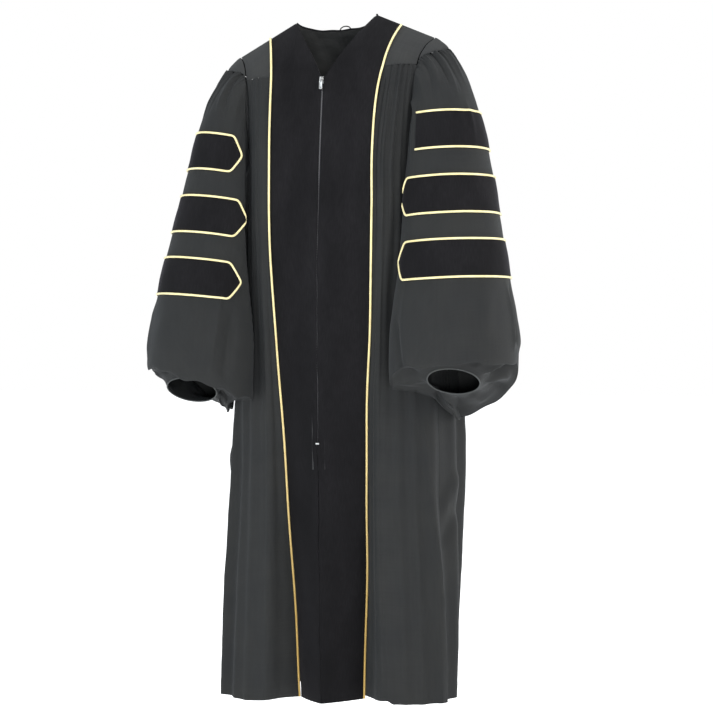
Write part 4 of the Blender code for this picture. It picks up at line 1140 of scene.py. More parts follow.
# the panel cord's second colour is painted shade, the darker gold it turns towards the hem
PANEL_GOLD = GoldCord("panel_gold", (0.84, 0.74, 0.40), (0.50, 0.33, 0.085))
BAR_GOLD = GoldCord("bar_gold", (0.84, 0.75, 0.42), (0.84, 0.75, 0.42))
SILVER = Metal()
TAPE = ZipCloth("zip_tape_cloth", (0.020, 0.020, 0.022))
COIL = ZipCloth("zip_coil", (0.16, 0.16, 0.17))


def material_of(finish: object) -> bpy.types.Material:
    """The finish's material, made the first time it is asked for."""
    return bpy.data.materials.get(finish.name) or finish.make()


# ---------------------------------------------------------------- making pieces


def dress(obj: bpy.types.Object, finish: object, body: str, nodes: Sequence[str]) -> bpy.types.Object:
    """Gives a piece its finish and its place in the model.

    Args:
        obj: the finished piece.
        finish: what it is made of.
        body: the body it moves with.
        nodes: the CAD nodes it stands for.

    Returns:
        The piece.
    """
    obj.data.materials.clear()
    obj.data.materials.append(material_of(finish))
    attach(obj, body)
    if nodes:
        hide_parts(*nodes)
    faces = obj.data.polygons
    log.info("%s: %d faces, %.4f m2", obj.name, len(faces), sum(face.area for face in faces))
    return obj


def object_of(name: str, work: bmesh.types.BMesh, smooth: bool = True) -> bpy.types.Object:
    """Turns a finished bmesh into an object of the scene."""
    data = bpy.data.meshes.new(name)
    work.to_mesh(data)
    work.free()
    if smooth:
        data.shade_smooth()
    obj = bpy.data.objects.new(name, data)
    bpy.context.scene.collection.objects.link(obj)
    return obj


def cloth_grid(name: str, points: Array, out: Array, uv: Array, closed: bool = False) -> bpy.types.Object:
    """A sheet of cloth from a grid of points.

    Args:
        name: the piece's name.
        points: columns by rows by 3, already in place.
        out: outward normals of the same shape.
        uv: columns by rows by 2, in metres on the cloth.
        closed: whether the last column meets the first.

    Returns:
        The new object, its faces turned outwards.
    """
    if closed:
        points = np.concatenate([points, points[:1]])
        out = np.concatenate([out, out[:1]])
        end = uv[:1].copy()
        end[..., 0] = uv[-1, :, 0] + (uv[-1, :, 0] - uv[-2, :, 0])
        uv = np.concatenate([uv, end])
    columns, rows = points.shape[:2]
    work = bmesh.new()
    layer = work.loops.layers.uv.new("cloth")
    bmesh.ops.create_grid(work, x_segments=columns - 1, y_segments=rows - 1, size=1.0)
    flat = points.transpose(1, 0, 2).reshape(-1, 3)
    flat_uv = uv.transpose(1, 0, 2).reshape(-1, 2)
    work.verts.ensure_lookup_table()
    for vertex, place in zip(work.verts, flat):
        vertex.co = place
    for face in work.faces:
        for loop in face.loops:
            loop[layer].uv = flat_uv[loop.vert.index]
    middle = work.faces[:][len(work.faces) // 2]
    middle.normal_update()
    flat_out = out.transpose(1, 0, 2).reshape(-1, 3)
    if middle.normal.dot(Vector(flat_out[middle.verts[0].index])) < 0:
        bmesh.ops.reverse_faces(work, faces=work.faces)
    bmesh.ops.remove_doubles(work, verts=work.verts, dist=1e-6)
    return object_of(name, work)


def thicken(obj: bpy.types.Object, thickness: float) -> None:
    """Gives a sheet its wall, inwards from its outer face."""
    wall = obj.modifiers.new("wall", "SOLIDIFY")
    wall.thickness = thickness
    wall.offset = -1.0
    wall.use_rim = True


def mirrored(points: Array, side: Side) -> Array:
    """A grid for one side: on the wearer's right x changes sign and the columns turn round."""
    if side is Side.LEFT:
        return points
    return (points * np.array((-1.0, 1.0, 1.0)))[::-1]


def lengths_uv(points: Array) -> Array:
    """UV in metres: across from the middle row's length, down from each column's own length."""
    middle = points[:, points.shape[1] // 2]
    across = np.concatenate([[0.0], np.cumsum(np.linalg.norm(np.diff(middle, axis=0), axis=1))])
    steps = np.linalg.norm(np.diff(points, axis=1), axis=2)
    down = np.concatenate([np.zeros((len(points), 1)), np.cumsum(steps, axis=1)], axis=1)
    return np.stack([np.repeat(across[:, None], points.shape[1], 1), -down], 2)


def tube(name: str, path: Array, out: Array, radius: float, sides: int, closed: bool) -> bpy.types.Object:
    """A round cord along a path.

    Args:
        name: the piece's name.
        path: the points down its middle.
        out: a direction at each point that isn't along the path.
        radius: half its thickness.
        sides: how many faces go round it.
        closed: whether it joins its own start.

    Returns:
        The new object.
    """
    if closed:
        along = unit(np.roll(path, -1, axis=0) - np.roll(path, 1, axis=0))
    else:
        along = unit(np.gradient(path, axis=0))
    aside = unit(np.cross(along, out))
    up = unit(np.cross(aside, along))
    turn = spread(0.0, 2 * math.pi, sides)
    ring = aside[:, None] * np.cos(turn)[None, :, None] + up[:, None] * np.sin(turn)[None, :, None]
    points = path[:, None] + ring * radius
    run = np.concatenate([[0.0], np.cumsum(np.linalg.norm(np.diff(path, axis=0), axis=1))])
    uv = np.stack(np.broadcast_arrays(run[:, None], turn[None, :] / (2 * math.pi)), 2)
    made = cloth_grid(name, points, ring, uv, closed)
    if not closed:
        work = bmesh.new()
        work.from_mesh(made.data)
        edges = [edge for edge in work.edges if edge.is_boundary]
        bmesh.ops.holes_fill(work, edges=edges, sides=0)
        work.to_mesh(made.data)
        work.free()
        made.data.shade_smooth()
    return made


def even_path(path: Array, step: float, closed: bool) -> tuple[Array, Array]:
    """A path with evenly spaced points, and each one's place among the old points."""
    line = np.concatenate([path, path[:1]]) if closed else path
    run = np.concatenate([[0.0], np.cumsum(np.linalg.norm(np.diff(line, axis=0), axis=1))])
    count = max(3, int(round(run[-1] / step)))
    at = np.linspace(0.0, run[-1], count + 1)
    if closed:
        at = at[:-1]
    index = np.interp(at, run, np.arange(len(line)))
    return np.stack([np.interp(at, run, line[:, k]) for k in range(3)], 1), index


def smoothed(path: Array, times: int, closed: bool) -> Array:
    """A path with its corners rounded off."""
    for _ in range(times):
        if closed:
            path = (np.roll(path, 1, axis=0) + 2 * path + np.roll(path, -1, axis=0)) / 4
        else:
            path = np.concatenate([path[:1], (path[:-2] + 2 * path[1:-1] + path[2:]) / 4, path[-1:]])
    return path


def edge_roll(shape: tuple[int, int], distances: Array, depth: float, reach: float) -> Array:
    """How far cloth sinks beside a seam, from each point's distance to it."""
    return np.broadcast_to(-depth * np.exp(-distances / reach), shape)


# ---------------------------------------------------------------- the body

NEAR_SEAM = (0.0008, 0.002, 0.004, 0.007)
ROLL_DEPTH = 0.0010
ROLL_REACH = 0.0016


@dataclass
class Skirt:
    """The grey fronts and the pleated back."""

    front_columns: int = 64
    back_columns: int = 84
    upper_rows: int = 44
    lower_rows: int = 118

    def relief(self, t: Array, z: Array, side: Side, points: Array) -> Array:
        """Folds on one half of the body, with the seam rolls at its edges."""
        folds = BOTH_FOLDS + (LEFT_FOLDS if side is Side.LEFT else RIGHT_FOLDS) + BACK_FOLDS
        made = relief_of(folds, t * T, -z)
        made += 0.0011 * wobble(points, 0.085, 7.7 * side.value)
        made += 0.0005 * wobble(points, 0.026, 2.2 * side.value)
        hem = np.clip((z - HEM_Z) / HEM_DEPTH, 0, None)
        made += np.where(hem < 1.0, 0.0006, 0.0) * ease((1.0 - hem) * 12)
        return made

    def half(self, places: Array, side: Side) -> tuple[Array, Array]:
        """Columns of half the body at places along the outline, with their normals, before mirroring."""
        tops = FORM.skirt_top(places)
        columns = []
        for t, top in zip(places, tops):
            near = [0.0 + d for d in NEAR_SEAM]
            heights = column_heights(top[2] - 0.4 * SEAM, self.upper_rows, self.lower_rows, near)
            columns.append(FORM.skirt(np.full_like(heights, t), heights))
        points = np.stack(columns)
        out = grid_normals(points)
        across = np.repeat(places[:, None], points.shape[1], 1)
        move = self.relief(across, points[..., 2], side, points)
        below = tops[:, 2][:, None] - points[..., 2]
        move += edge_roll(move.shape, below, ROLL_DEPTH, ROLL_REACH)
        return points + out * move[..., None], out

    def build_front(self, side: Side) -> None:
        """A grey front, from the piping to the side seam."""
        seam = SEAM / OUTLINE_LENGTH
        places = seam_spaced(seam, SIDE_SEAM - seam, self.front_columns, SIDE_SEAM * T, NEAR_SEAM)
        points, out = self.half(places, side)
        points[..., 2] += self.hem_dip(places, side)[:, None] * ease((HEM_Z + 0.10 - points[..., 2]) / 0.10)
        points = leaned(mirrored(points, side))
        obj = cloth_grid(f"front_{side.word}", points, mirrored(out, side), lengths_uv(points))
        thicken(obj, CLOTH)
        dress(obj, GREY, GOWN, [f"front_{side.word}"])

    def hem_dip(self, places: Array, side: Side) -> Array:
        """How the hem's edge rises or falls along a front."""
        if side is Side.LEFT:
            return 0.007 * ease((0.19 - places) / 0.03) - 0.002 * ease((places - 0.2) / 0.1)
        return 0.002 * np.sin(places * 20)

    def build_back(self) -> None:
        """The back, from side seam to side seam."""
        seam = SEAM / OUTLINE_LENGTH
        places = seam_spaced(SIDE_SEAM + seam, 1.0, self.back_columns, (1 - SIDE_SEAM) * T, NEAR_SEAM)
        left, out_left = self.half(places, Side.LEFT)
        right, out_right = self.half(places, Side.RIGHT)
        meet = ease((places - 0.93) / 0.07)[:, None, None]
        middle = (left + right) / 2
        left = left * (1 - meet) + middle * meet
        right = right * (1 - meet) + middle * meet
        points = np.concatenate([left, mirrored(right, Side.RIGHT)[1:]])
        points[len(left) - 1, :, 0] = 0.0
        out = np.concatenate([out_left, mirrored(out_right, Side.RIGHT)[1:]])
        points = leaned(points)
        obj = cloth_grid("back", points, out, lengths_uv(points))
        thicken(obj, CLOTH)
        dress(obj, GREY, GOWN, ["back"])

    def build(self) -> None:
        """Builds all three pieces."""
        for side in Side:
            self.build_front(side)
        self.build_back()


PATCH_INSET = 0.004


@dataclass
class Yokes:
    """The two front yokes and the back yoke."""

    across: int = 26
    down: int = 30

    def build_front(self, side: Side) -> None:
        """A front yoke between piping, shoulder line, armhole and its own seam."""
        u = seam_spaced(PATCH_INSET, 1 - PATCH_INSET, self.across, 0.08, NEAR_SEAM)
        v = seam_spaced(0.001, 0.996, self.down, 0.09, NEAR_SEAM)[::-1]
        uu, vv = (g.ravel() for g in np.meshgrid(u, v, indexing="ij"))
        foot = FORM.front_yoke_seam(uu * FRONT_ARMHOLE)
        head = blend(PANEL_SHOULDER, SHOULDER_TIP, uu)
        inner = FORM.panel_edge(FRONT_YOKE_Z + (PANEL_SHOULDER[2] - FRONT_YOKE_Z) * vv)
        outer = FORM.armhole(270 + 90 * vv)
        ruled = blend(foot, head, vv) + blend(inner, outer, uu)
        seam_start = FORM.front_yoke_seam(np.zeros(1))
        seam_end = FORM.front_yoke_seam(np.array([FRONT_ARMHOLE]))
        foot_line = blend(seam_start, seam_end, uu)
        points = (ruled - blend(foot_line, head, vv)).reshape(len(u), len(v), 3)
        out = grid_normals(points)
        ends = np.minimum(vv, 1 - vv).reshape(points.shape[:2]) * 0.09
        move = edge_roll(ends.shape, ends, ROLL_DEPTH, ROLL_REACH)
        move = move + 0.0006 * wobble(points, 0.03, 5.0 * side.value)
        points = leaned(mirrored(points + out * move[..., None], side))
        obj = cloth_grid(f"yoke_{side.word}", points, mirrored(out, side), lengths_uv(points))
        thicken(obj, CLOTH)
        dress(obj, TOP_LIT_GREY, GOWN, [f"yoke_{side.word}"])

    @staticmethod
    def back_top(share: Array) -> Array:
        """The back yoke's upper edge: shoulder tip, neck point, then the back of the neck."""
        line = blend(SHOULDER_TIP, NECK_POINT, np.clip(share / SHOULDER_SHARE, 0, 1))
        turn = 0.5 * math.pi * np.clip((share - SHOULDER_SHARE) / (1 - SHOULDER_SHARE), 0, 1)
        x = NECK_POINT[0] * np.cos(turn)
        y = BACK_NECK[1] * np.sin(turn)
        z = BACK_NECK[2] + (NECK_POINT[2] - BACK_NECK[2]) * (1 - np.sin(turn)) ** 1.5
        return np.where((share <= SHOULDER_SHARE)[:, None], line, np.stack([x, y, z], 1))

    def build_back(self) -> None:
        """The back yoke, from armhole to armhole under the neck."""
        shares = seam_spaced(PATCH_INSET, 1.0, 2 * self.across, 0.22, NEAR_SEAM)
        v = seam_spaced(0.0, 0.999, self.down, 0.11, NEAR_SEAM)
        ss, vv = (g.ravel() for g in np.meshgrid(shares, v, indexing="ij"))
        top = self.back_top(ss)
        foot = FORM.back_yoke_seam(BACK_ARMHOLE + (1 - BACK_ARMHOLE) * ss)
        corner = FORM.armhole(np.array([90.0]))
        edge = FORM.armhole(90 * vv) - blend(SHOULDER_TIP, corner, vv)
        arm = ((1 - ss) ** 3)[:, None]
        crown = np.array((0.0, 0.016, 0.012)) * np.sin(math.pi * vv)[:, None]
        half = (blend(top, foot, vv) + edge * arm + crown * (1 - arm)).reshape(len(shares), len(v), 3)
        points = np.concatenate([half, mirrored(half, Side.RIGHT)[1:]])
        out = grid_normals(points)
        ends = np.minimum(vv, 1 - vv).reshape(half.shape[:2]) * 0.11
        ends = np.concatenate([ends, ends[::-1][1:]])
        upper = np.broadcast_to(v, half.shape[:2]) * 0.11
        ends = np.minimum(ends, np.concatenate([upper, upper[::-1][1:]]) + 0.0005)
        move = edge_roll(ends.shape, ends, 0.3 * ROLL_DEPTH, ROLL_REACH)
        move = move + 0.0008 * wobble(points, 0.05, 9.0) * ease(ends / 0.01)
        move += 0.0032 * wobble(points, 0.022, 1.7) * ease((points[..., 2] + 0.09) / 0.06) * ease(ends / 0.02)
        points = leaned(points + out * move[..., None])
        obj = cloth_grid("yoke_back", points, out, lengths_uv(points))
        thicken(obj, CLOTH)
        dress(obj, TOP_LIT_GREY, GOWN, ["yoke_back"])

    def build(self) -> None:
        """Builds all three pieces."""
        for side in Side:
            self.build_front(side)
        self.build_back()


ZIP_GAP_OPEN = 0.0017
ZIP_GAP_CLOSED = 0.0006


@dataclass
class Panels:
    """The velvet fronts and the gold piping down their outer edges."""

    across: int = 26
    upper_rows: int = 60
    lower_rows: int = 130
    cord_step: float = 0.0022

    def build_panel(self, side: Side) -> None:
        """A velvet front, from the zip to the piping."""
        shares = seam_spaced(0.0, 1.0, self.across, PANEL_WIDTH, (0.0008, 0.002, 0.0045))
        columns = []
        spots = []
        for share in shares:
            top_z = float(FORM.panel_top(np.array([share]))[0, 2]) - SEAM
            heights = column_heights(top_z, self.upper_rows, self.lower_rows, NEAR_SEAM)
            row = FORM.body.at(heights)
            width = np.hypot(row[:, 1], row[:, 2] - row[:, 0])
            turned = np.maximum((row[:, 2] - row[:, 0]) / row[:, 1], 0.0)
            cover = ease((ZIP_COVER_Z - heights) / 0.08)
            gap = ZIP_GAP_OPEN * (1 - cover) + ZIP_GAP_CLOSED * cover
            low = (gap + 0.6 * VELVET * turned) / width
            high = 1.0 - SEAM / width
            t = low + (high - low) * share
            spots.append(t * width)
            columns.append(FORM.panel(t, heights))
        points = np.stack(columns)
        out = grid_normals(points)
        inner = np.stack(spots) - np.stack(spots)[:1]
        outer = np.stack(spots)[-1:] - np.stack(spots)
        move = edge_roll(inner.shape, inner, 0.0012, 0.0022) + edge_roll(inner.shape, outer, 0.0010, 0.0020)
        move = move + 0.0010 * wobble(points, 0.11, 4.4 * side.value)
        move = move + 0.0004 * wobble(points, 0.03, 1.2 * side.value)
        points = points + out * move[..., None]
        wave = 0.0007 * np.sin(points[..., 2] * 34 + 1.0) + 0.0005 * np.sin(points[..., 2] * 71)
        below_zip = ease((ZIP_COVER_Z - points[..., 2]) / 0.1)
        points[..., 0] += wave * side.value * below_zip * np.exp(-inner / 0.02)
        points = leaned(mirrored(points, side))
        obj = cloth_grid(f"panel_{side.word}", points, mirrored(out, side), lengths_uv(points))
        thicken(obj, VELVET)
        dress(obj, VELVET_PILE, GOWN, [f"panel_{side.word}"])

    def cord_path(self, side: Side) -> tuple[Array, Array]:
        """The piping's middle line and its outward directions, nested where the cloth folds in."""
        heights = spread(PANEL_SHOULDER[2] - 0.001, HEM_Z + 0.001, 420)
        edge = FORM.panel_edge(heights)
        before = unit(FORM.panel(np.full_like(heights, 0.96), heights) - edge)
        run = unit(np.gradient(edge, axis=0))
        out = unit(np.cross(run, before))
        out = np.where((out[:, 1] > 0)[:, None], -out, out)
        after = unit(FORM.skirt(np.full_like(heights, 0.02), heights) - edge)
        middle = before + after
        folded = (heights < FRONT_YOKE_Z) & (np.linalg.norm(middle, axis=1) > 0.2) & (middle[:, 1] < 0)
        out = np.where(folded[:, None], unit(middle), out)
        half = np.arccos(np.clip((out * before).sum(1), -1, 1))
        slant = np.maximum(np.sin(np.minimum(half, 0.5 * math.pi)), 0.4)
        reach = smoothed(((CORD_RADIUS + LAY_GAP) / slant)[:, None], 8, False)
        out = unit(smoothed(out, 8, False))
        path = edge + out * reach
        path[:, 0] += 0.0006 * np.sin(heights * 23 + side.value)
        flip = np.array((side.value, 1.0, 1.0))
        return leaned(path * flip), out * flip

    def build_piping(self, side: Side) -> None:
        """The gold cord down one panel's edge."""
        path, out = self.cord_path(side)
        path, index = even_path(path, self.cord_step, False)
        out = out[np.round(index).astype(int)]
        obj = tube(f"piping_{side.word}", path, out, CORD_RADIUS, 12, False)
        dress(obj, PANEL_GOLD, GOWN, [f"piping_{side.word}"])

    def build(self) -> None:
        """Builds both panels and both cords."""
        for side in Side:
            self.build_panel(side)
            self.build_piping(side)


# ---------------------------------------------------------------- the sleeves


@dataclass
class Sleeve:
    """One bell sleeve: crescent cap, fluted tube, turned-in wrist, three velvet bars and their cords."""

    side: Side
    columns: int = 240
    rows: int = 120
    cord_step: float = 0.0022
    form: SleeveForm = field(init=False)

    def __post_init__(self) -> None:
        """Makes the form that all the pieces share."""
        self.form = SleeveForm(self.side)

    def name(self, part: str) -> str:
        """A piece's name on this side."""
        return f"{part}_{self.side.word}"

    def placed_grid(self, points: Array, out: Array) -> tuple[Array, Array]:
        """A grid and its normals on this sleeve's side, columns anticlockwise from above."""
        return leaned(mirrored(points, self.side)), mirrored(out, self.side)

    def build_cap(self) -> None:
        """The smooth crescent over the shoulder."""
        angles = spread(-80.0, 80.0, 56)
        rows = seam_spaced(0.0, 1.0, 10, CAP_LENGTH, (0.001, 0.0025))
        columns = []
        for angle in angles:
            length = self.form.cap_length(angle)
            last = max(length - SEAM, SEAM + 0.0016)
            at = [self.form.distance_row(angle, SEAM + (last - SEAM) * r) for r in rows]
            columns.append(self.form.base(np.full(len(at), angle), np.array(at)))
        points = np.stack(columns)
        out = grid_normals(points)
        depth = np.abs(rows - 0.5)[None, :] * 2
        puff = 0.0016 * (1 - depth**4) * np.cos(np.radians(angles))[:, None]
        points = points + out * (puff + 0.0004 * wobble(points, 0.02, 6.0))[..., None]
        points, out = self.placed_grid(points, out)
        obj = cloth_grid(self.name("cap"), points, out, lengths_uv(points))
        thicken(obj, CLOTH)
        dress(obj, TOP_LIT_GREY, GOWN, [self.name("cap")])

    def start_row(self, angle: float) -> float:
        """Where the fluted tube starts, under the crescent or the armhole."""
        return self.form.distance_row(angle, max(self.form.cap_length(angle), SEAM) + SEAM)

    def build_tube(self) -> None:
        """The fluted bell of the sleeve, from the crescent to the mouth."""
        angles = spread(0.0, 360.0, self.columns)[:-1]
        starts = np.array([self.start_row(a) for a in angles])
        early = np.array([0, 0.004, 0.01, 0.02, 0.033, 0.048, 0.065, 0.085])
        shares = np.concatenate([early, np.linspace(0.105, 0.985, self.rows), [0.991, 0.995, 0.998, 1.0]])
        rows = starts[:, None] + (LAST_ROW - starts)[:, None] * shares[None, :]
        aa = np.repeat(angles[:, None], len(shares), 1)
        points, out = self.form.surface(aa.ravel(), rows.ravel())
        points = points.reshape(*aa.shape, 3)
        out = out.reshape(*aa.shape, 3)
        from_mouth = np.linalg.norm(points - points[:, -1:], axis=2)
        points = points + out * edge_roll(aa.shape, from_mouth, 0.0016, 0.0026)[..., None]
        points[..., 2] += self.mouth_wave(aa) * np.exp(-from_mouth / 0.03)
        points, out = self.placed_grid(points, out)
        obj = cloth_grid(self.name("sleeve"), points, out, lengths_uv(points), closed=True)
        thicken(obj, CLOTH)
        dress(obj, GREY, GOWN, [self.name("sleeve")])
        self.name("cap")

    def mouth_wave(self, angle: Array) -> Array:
        """Small ups and downs of the mouth's edge."""
        turn = np.radians(angle)
        if self.side is Side.LEFT:
            return 0.0022 * np.sin(5 * turn + 0.6) + 0.0016 * np.sin(11 * turn)
        return 0.0034 * np.sin(6 * turn + 2.0) + 0.0026 * np.sin(13 * turn + 1.0)

    def wrist_folds(self) -> tuple[Fold, ...]:
        """Crumples of the turned-in cloth, in (angle, share of the way in)."""
        return tuple(
            Fold(
                ((math.radians(row.angle), row.share), (math.radians(row.end_angle), row.end_share)),
                2.2 * row.width, 1.25 * row.height, 1.2, 0.25, 0.35,
            )
            for row in WRIST_CRUMPLES[self.side]
        )

    def build_wrist(self) -> None:
        """The turned-in lower part of the sleeve, with its rolled opening."""
        angles = spread(0.0, 360.0, 180)[:-1]
        foot = self.form.base(angles, np.full_like(angles, LAST_ROW))
        foot[:, 2] += self.mouth_wave(angles)
        middle = foot.copy()
        middle[:, :2] = WRIST_CENTRE[:2]
        start = foot + unit(middle - foot) * 0.0026 + np.array((0.0, 0.0, 0.0016))
        turn = np.radians(angles)
        rim = [WRIST_HALF[0] * np.cos(turn), WRIST_HALF[1] * np.sin(turn), -WRIST_TILT * np.sin(turn)]
        end = WRIST_CENTRE + np.stack(rim, 1)
        shares = np.concatenate([[0.0, 0.02, 0.05], np.linspace(0.09, 0.95, 24), [0.98, 1.0]])
        line = blend(start[:, None], end[:, None], np.broadcast_to(shares, (len(angles), len(shares))))
        line[..., 2] += WRIST_CROWN * np.sin(math.pi * shares)
        out = grid_normals(line, closed=True)
        aa = np.repeat(turn[:, None], len(shares), 1)
        wrapped = np.where(aa > 1.37 * math.pi, aa - 2 * math.pi, aa)
        move = relief_of(self.wrist_folds(), wrapped, np.broadcast_to(shares, aa.shape) * 1.0)
        move += 0.0030 * wobble(line, 0.030, 8.8 * self.side.value) * np.sin(math.pi * shares)
        points, out = self.placed_grid(line + out * move[..., None], out)
        obj = cloth_grid(self.name("wrist"), points, out, lengths_uv(points), closed=True)
        thicken(obj, CLOTH)
        dress(obj, GREY, GOWN, [self.name("wrist")])
        opening = leaned(end * np.array((self.side.value, 1.0, 1.0)))
        path, _ = even_path(opening, 0.004, True)
        up = np.broadcast_to(np.array((0.0, 0.0, 1.0)), path.shape)
        hem = tube(self.name("wrist_hem"), path, up, 0.0013, 8, True)
        # the rolled hem wears the lighter grey, a painted highlight along the opening's edge
        dress(hem, HIGHLIT_HEM_GREY, GOWN, [])
        self.name("sleeve")

    def bar_outline(self, index: int, angle: Array) -> Array:
        """Half of a bar's height at angles along it, in rows: 1 in the middle, 0 at its points."""
        front = float(BAR_FRONT[self.side][index])
        blunt = self.side is Side.LEFT and index == 0
        back = np.clip((BAR_BACK - angle) / BAR_POINT, 0, 1) ** 0.9
        if blunt:
            return back
        return np.clip((angle - front) / BAR_POINT, 0, 1) ** 0.9 * back

    def build_bar(self, index: int) -> None:
        """One velvet bar and the gold cord round it."""
        front = float(BAR_FRONT[self.side][index])
        even = spread(front, BAR_BACK, 92)
        angles = np.array(sorted({*even, *(front + BAR_TIPS), *(BAR_BACK - BAR_TIPS)}))
        half = self.bar_outline(index, angles)
        across = np.concatenate([-BAR_ACROSS[::-1], [0.0], BAR_ACROSS])
        middle = FIRST_BAR_ROW + 3 * index + 1.0
        aa = np.repeat(angles[:, None], len(across), 1)
        rows = middle + half[:, None] * across[None, :]
        points, out = self.form.surface(aa.ravel(), rows.ravel(), LAY_GAP + VELVET)
        points = points.reshape(*aa.shape, 3)
        out = out.reshape(*aa.shape, 3)
        sink = np.where(np.abs(across) > 0.95, -0.0006, 0.0) + 0.0006 * (1 - across**2)
        points = points + out * (sink + 0.0004 * wobble(points, 0.02, index + 1.0))[..., None]
        grid, normals = self.placed_grid(points, out)
        name = f"{self.name('bar')}_{index + 1}"
        obj = cloth_grid(name, grid, normals, lengths_uv(grid))
        thicken(obj, VELVET)
        dress(obj, VELVET_PILE, GOWN, [name])
        cord = self.build_bar_cord(name, angles, half, middle)
        under = [self.name("sleeve")]

    def build_bar_cord(self, name: str, angles: Array, half: Array, middle: float) -> bpy.types.Object:
        """The gold cord round one bar, just outside its edge."""
        top = np.stack([angles, middle - half], 1)
        foot = np.stack([angles, middle + half], 1)[::-1]
        closed = bool(half[0] < 1e-6)
        loop = np.concatenate([top, foot[1:-1] if closed else foot[1:]])
        points, out = self.form.surface(loop[:, 0], loop[:, 1], CORD_RADIUS + 0.5 * LAY_GAP)
        path, where = even_path(points, self.cord_step, closed)
        normals = out[np.round(where).astype(int) % len(out)]
        path = smoothed(path, 5, closed)
        if closed:
            along = unit(np.roll(path, -1, axis=0) - np.roll(path, 1, axis=0))
        else:
            along = unit(np.gradient(path, axis=0))
        aside = unit(np.cross(along, normals))
        centre = path.mean(axis=0)
        if ((path - centre) * aside).sum(1).mean() < 0:
            aside = -aside
        path = path + aside * (0.5 * CORD_RADIUS)
        flip = np.array((self.side.value, 1.0, 1.0))
        obj = tube(name + "_piping", leaned(path * flip), normals * flip, CORD_RADIUS, 10, closed)
        return dress(obj, BAR_GOLD, GOWN, [name + "_piping"])

    def build(self) -> None:
        """Builds every piece of the sleeve."""
        self.build_cap()
        self.build_tube()
        self.build_wrist()
        for index in range(len(BAR_TOPS)):
            self.build_bar(index)


# ---------------------------------------------------------------- the neck and the zip


@dataclass
class NeckTrim:
    """The velvet binding on the back of the neckline and the hang loop."""

    start: float = 0.57
    radius: float = 0.0021

    def build(self) -> None:
        """Builds the binding and the loop."""
        shares = 1.0 - (1.0 - self.start) * np.abs(spread(-1.0, 1.0, 90))
        line = Yokes.back_top(shares)
        line[: len(line) // 2, 0] *= -1
        line += np.array((0.0, 0.0004, 0.0014))
        line[:, 2] += 0.0006 * np.sin(line[:, 0] * 160)
        up = np.broadcast_to(np.array((0.0, 0.0, 1.0)), line.shape)
        binding = tube("neck_back", leaned(line), up, self.radius, 10, False)
        dress(binding, VELVET_PILE, GOWN, ["neck_back"])
        turn = spread(0.0, math.pi, 28)
        arch = np.stack([0.011 * np.cos(turn), np.zeros_like(turn), 0.007 * np.sin(turn)], 1)
        path = leaned(BACK_NECK + np.array((0.0, -0.0048, 0.0012)) + arch)
        ahead = np.broadcast_to(np.array((0.0, -1.0, 0.0)), path.shape)
        loop = tube("hang_loop", path, ahead, 0.0012, 8, False)
        dress(loop, VELVET_PILE, GOWN, ["hang_loop"])


def box(work: bmesh.types.BMesh, low: Sequence[float], high: Sequence[float]) -> list:
    """A box between two corners, added to a bmesh."""
    made = bmesh.ops.create_cube(work, size=1.0)["verts"]
    for vertex in made:
        for axis in range(3):
            vertex.co[axis] = high[axis] if vertex.co[axis] > 0 else low[axis]
    return made


def round_edges(work: bmesh.types.BMesh, edges: Sequence, offset: float, segments: int = 2) -> None:
    """Rounds edges."""
    bmesh.ops.bevel(
        work, geom=list(edges), offset=offset, segments=segments, profile=0.5, affect="EDGES", material=-1
    )


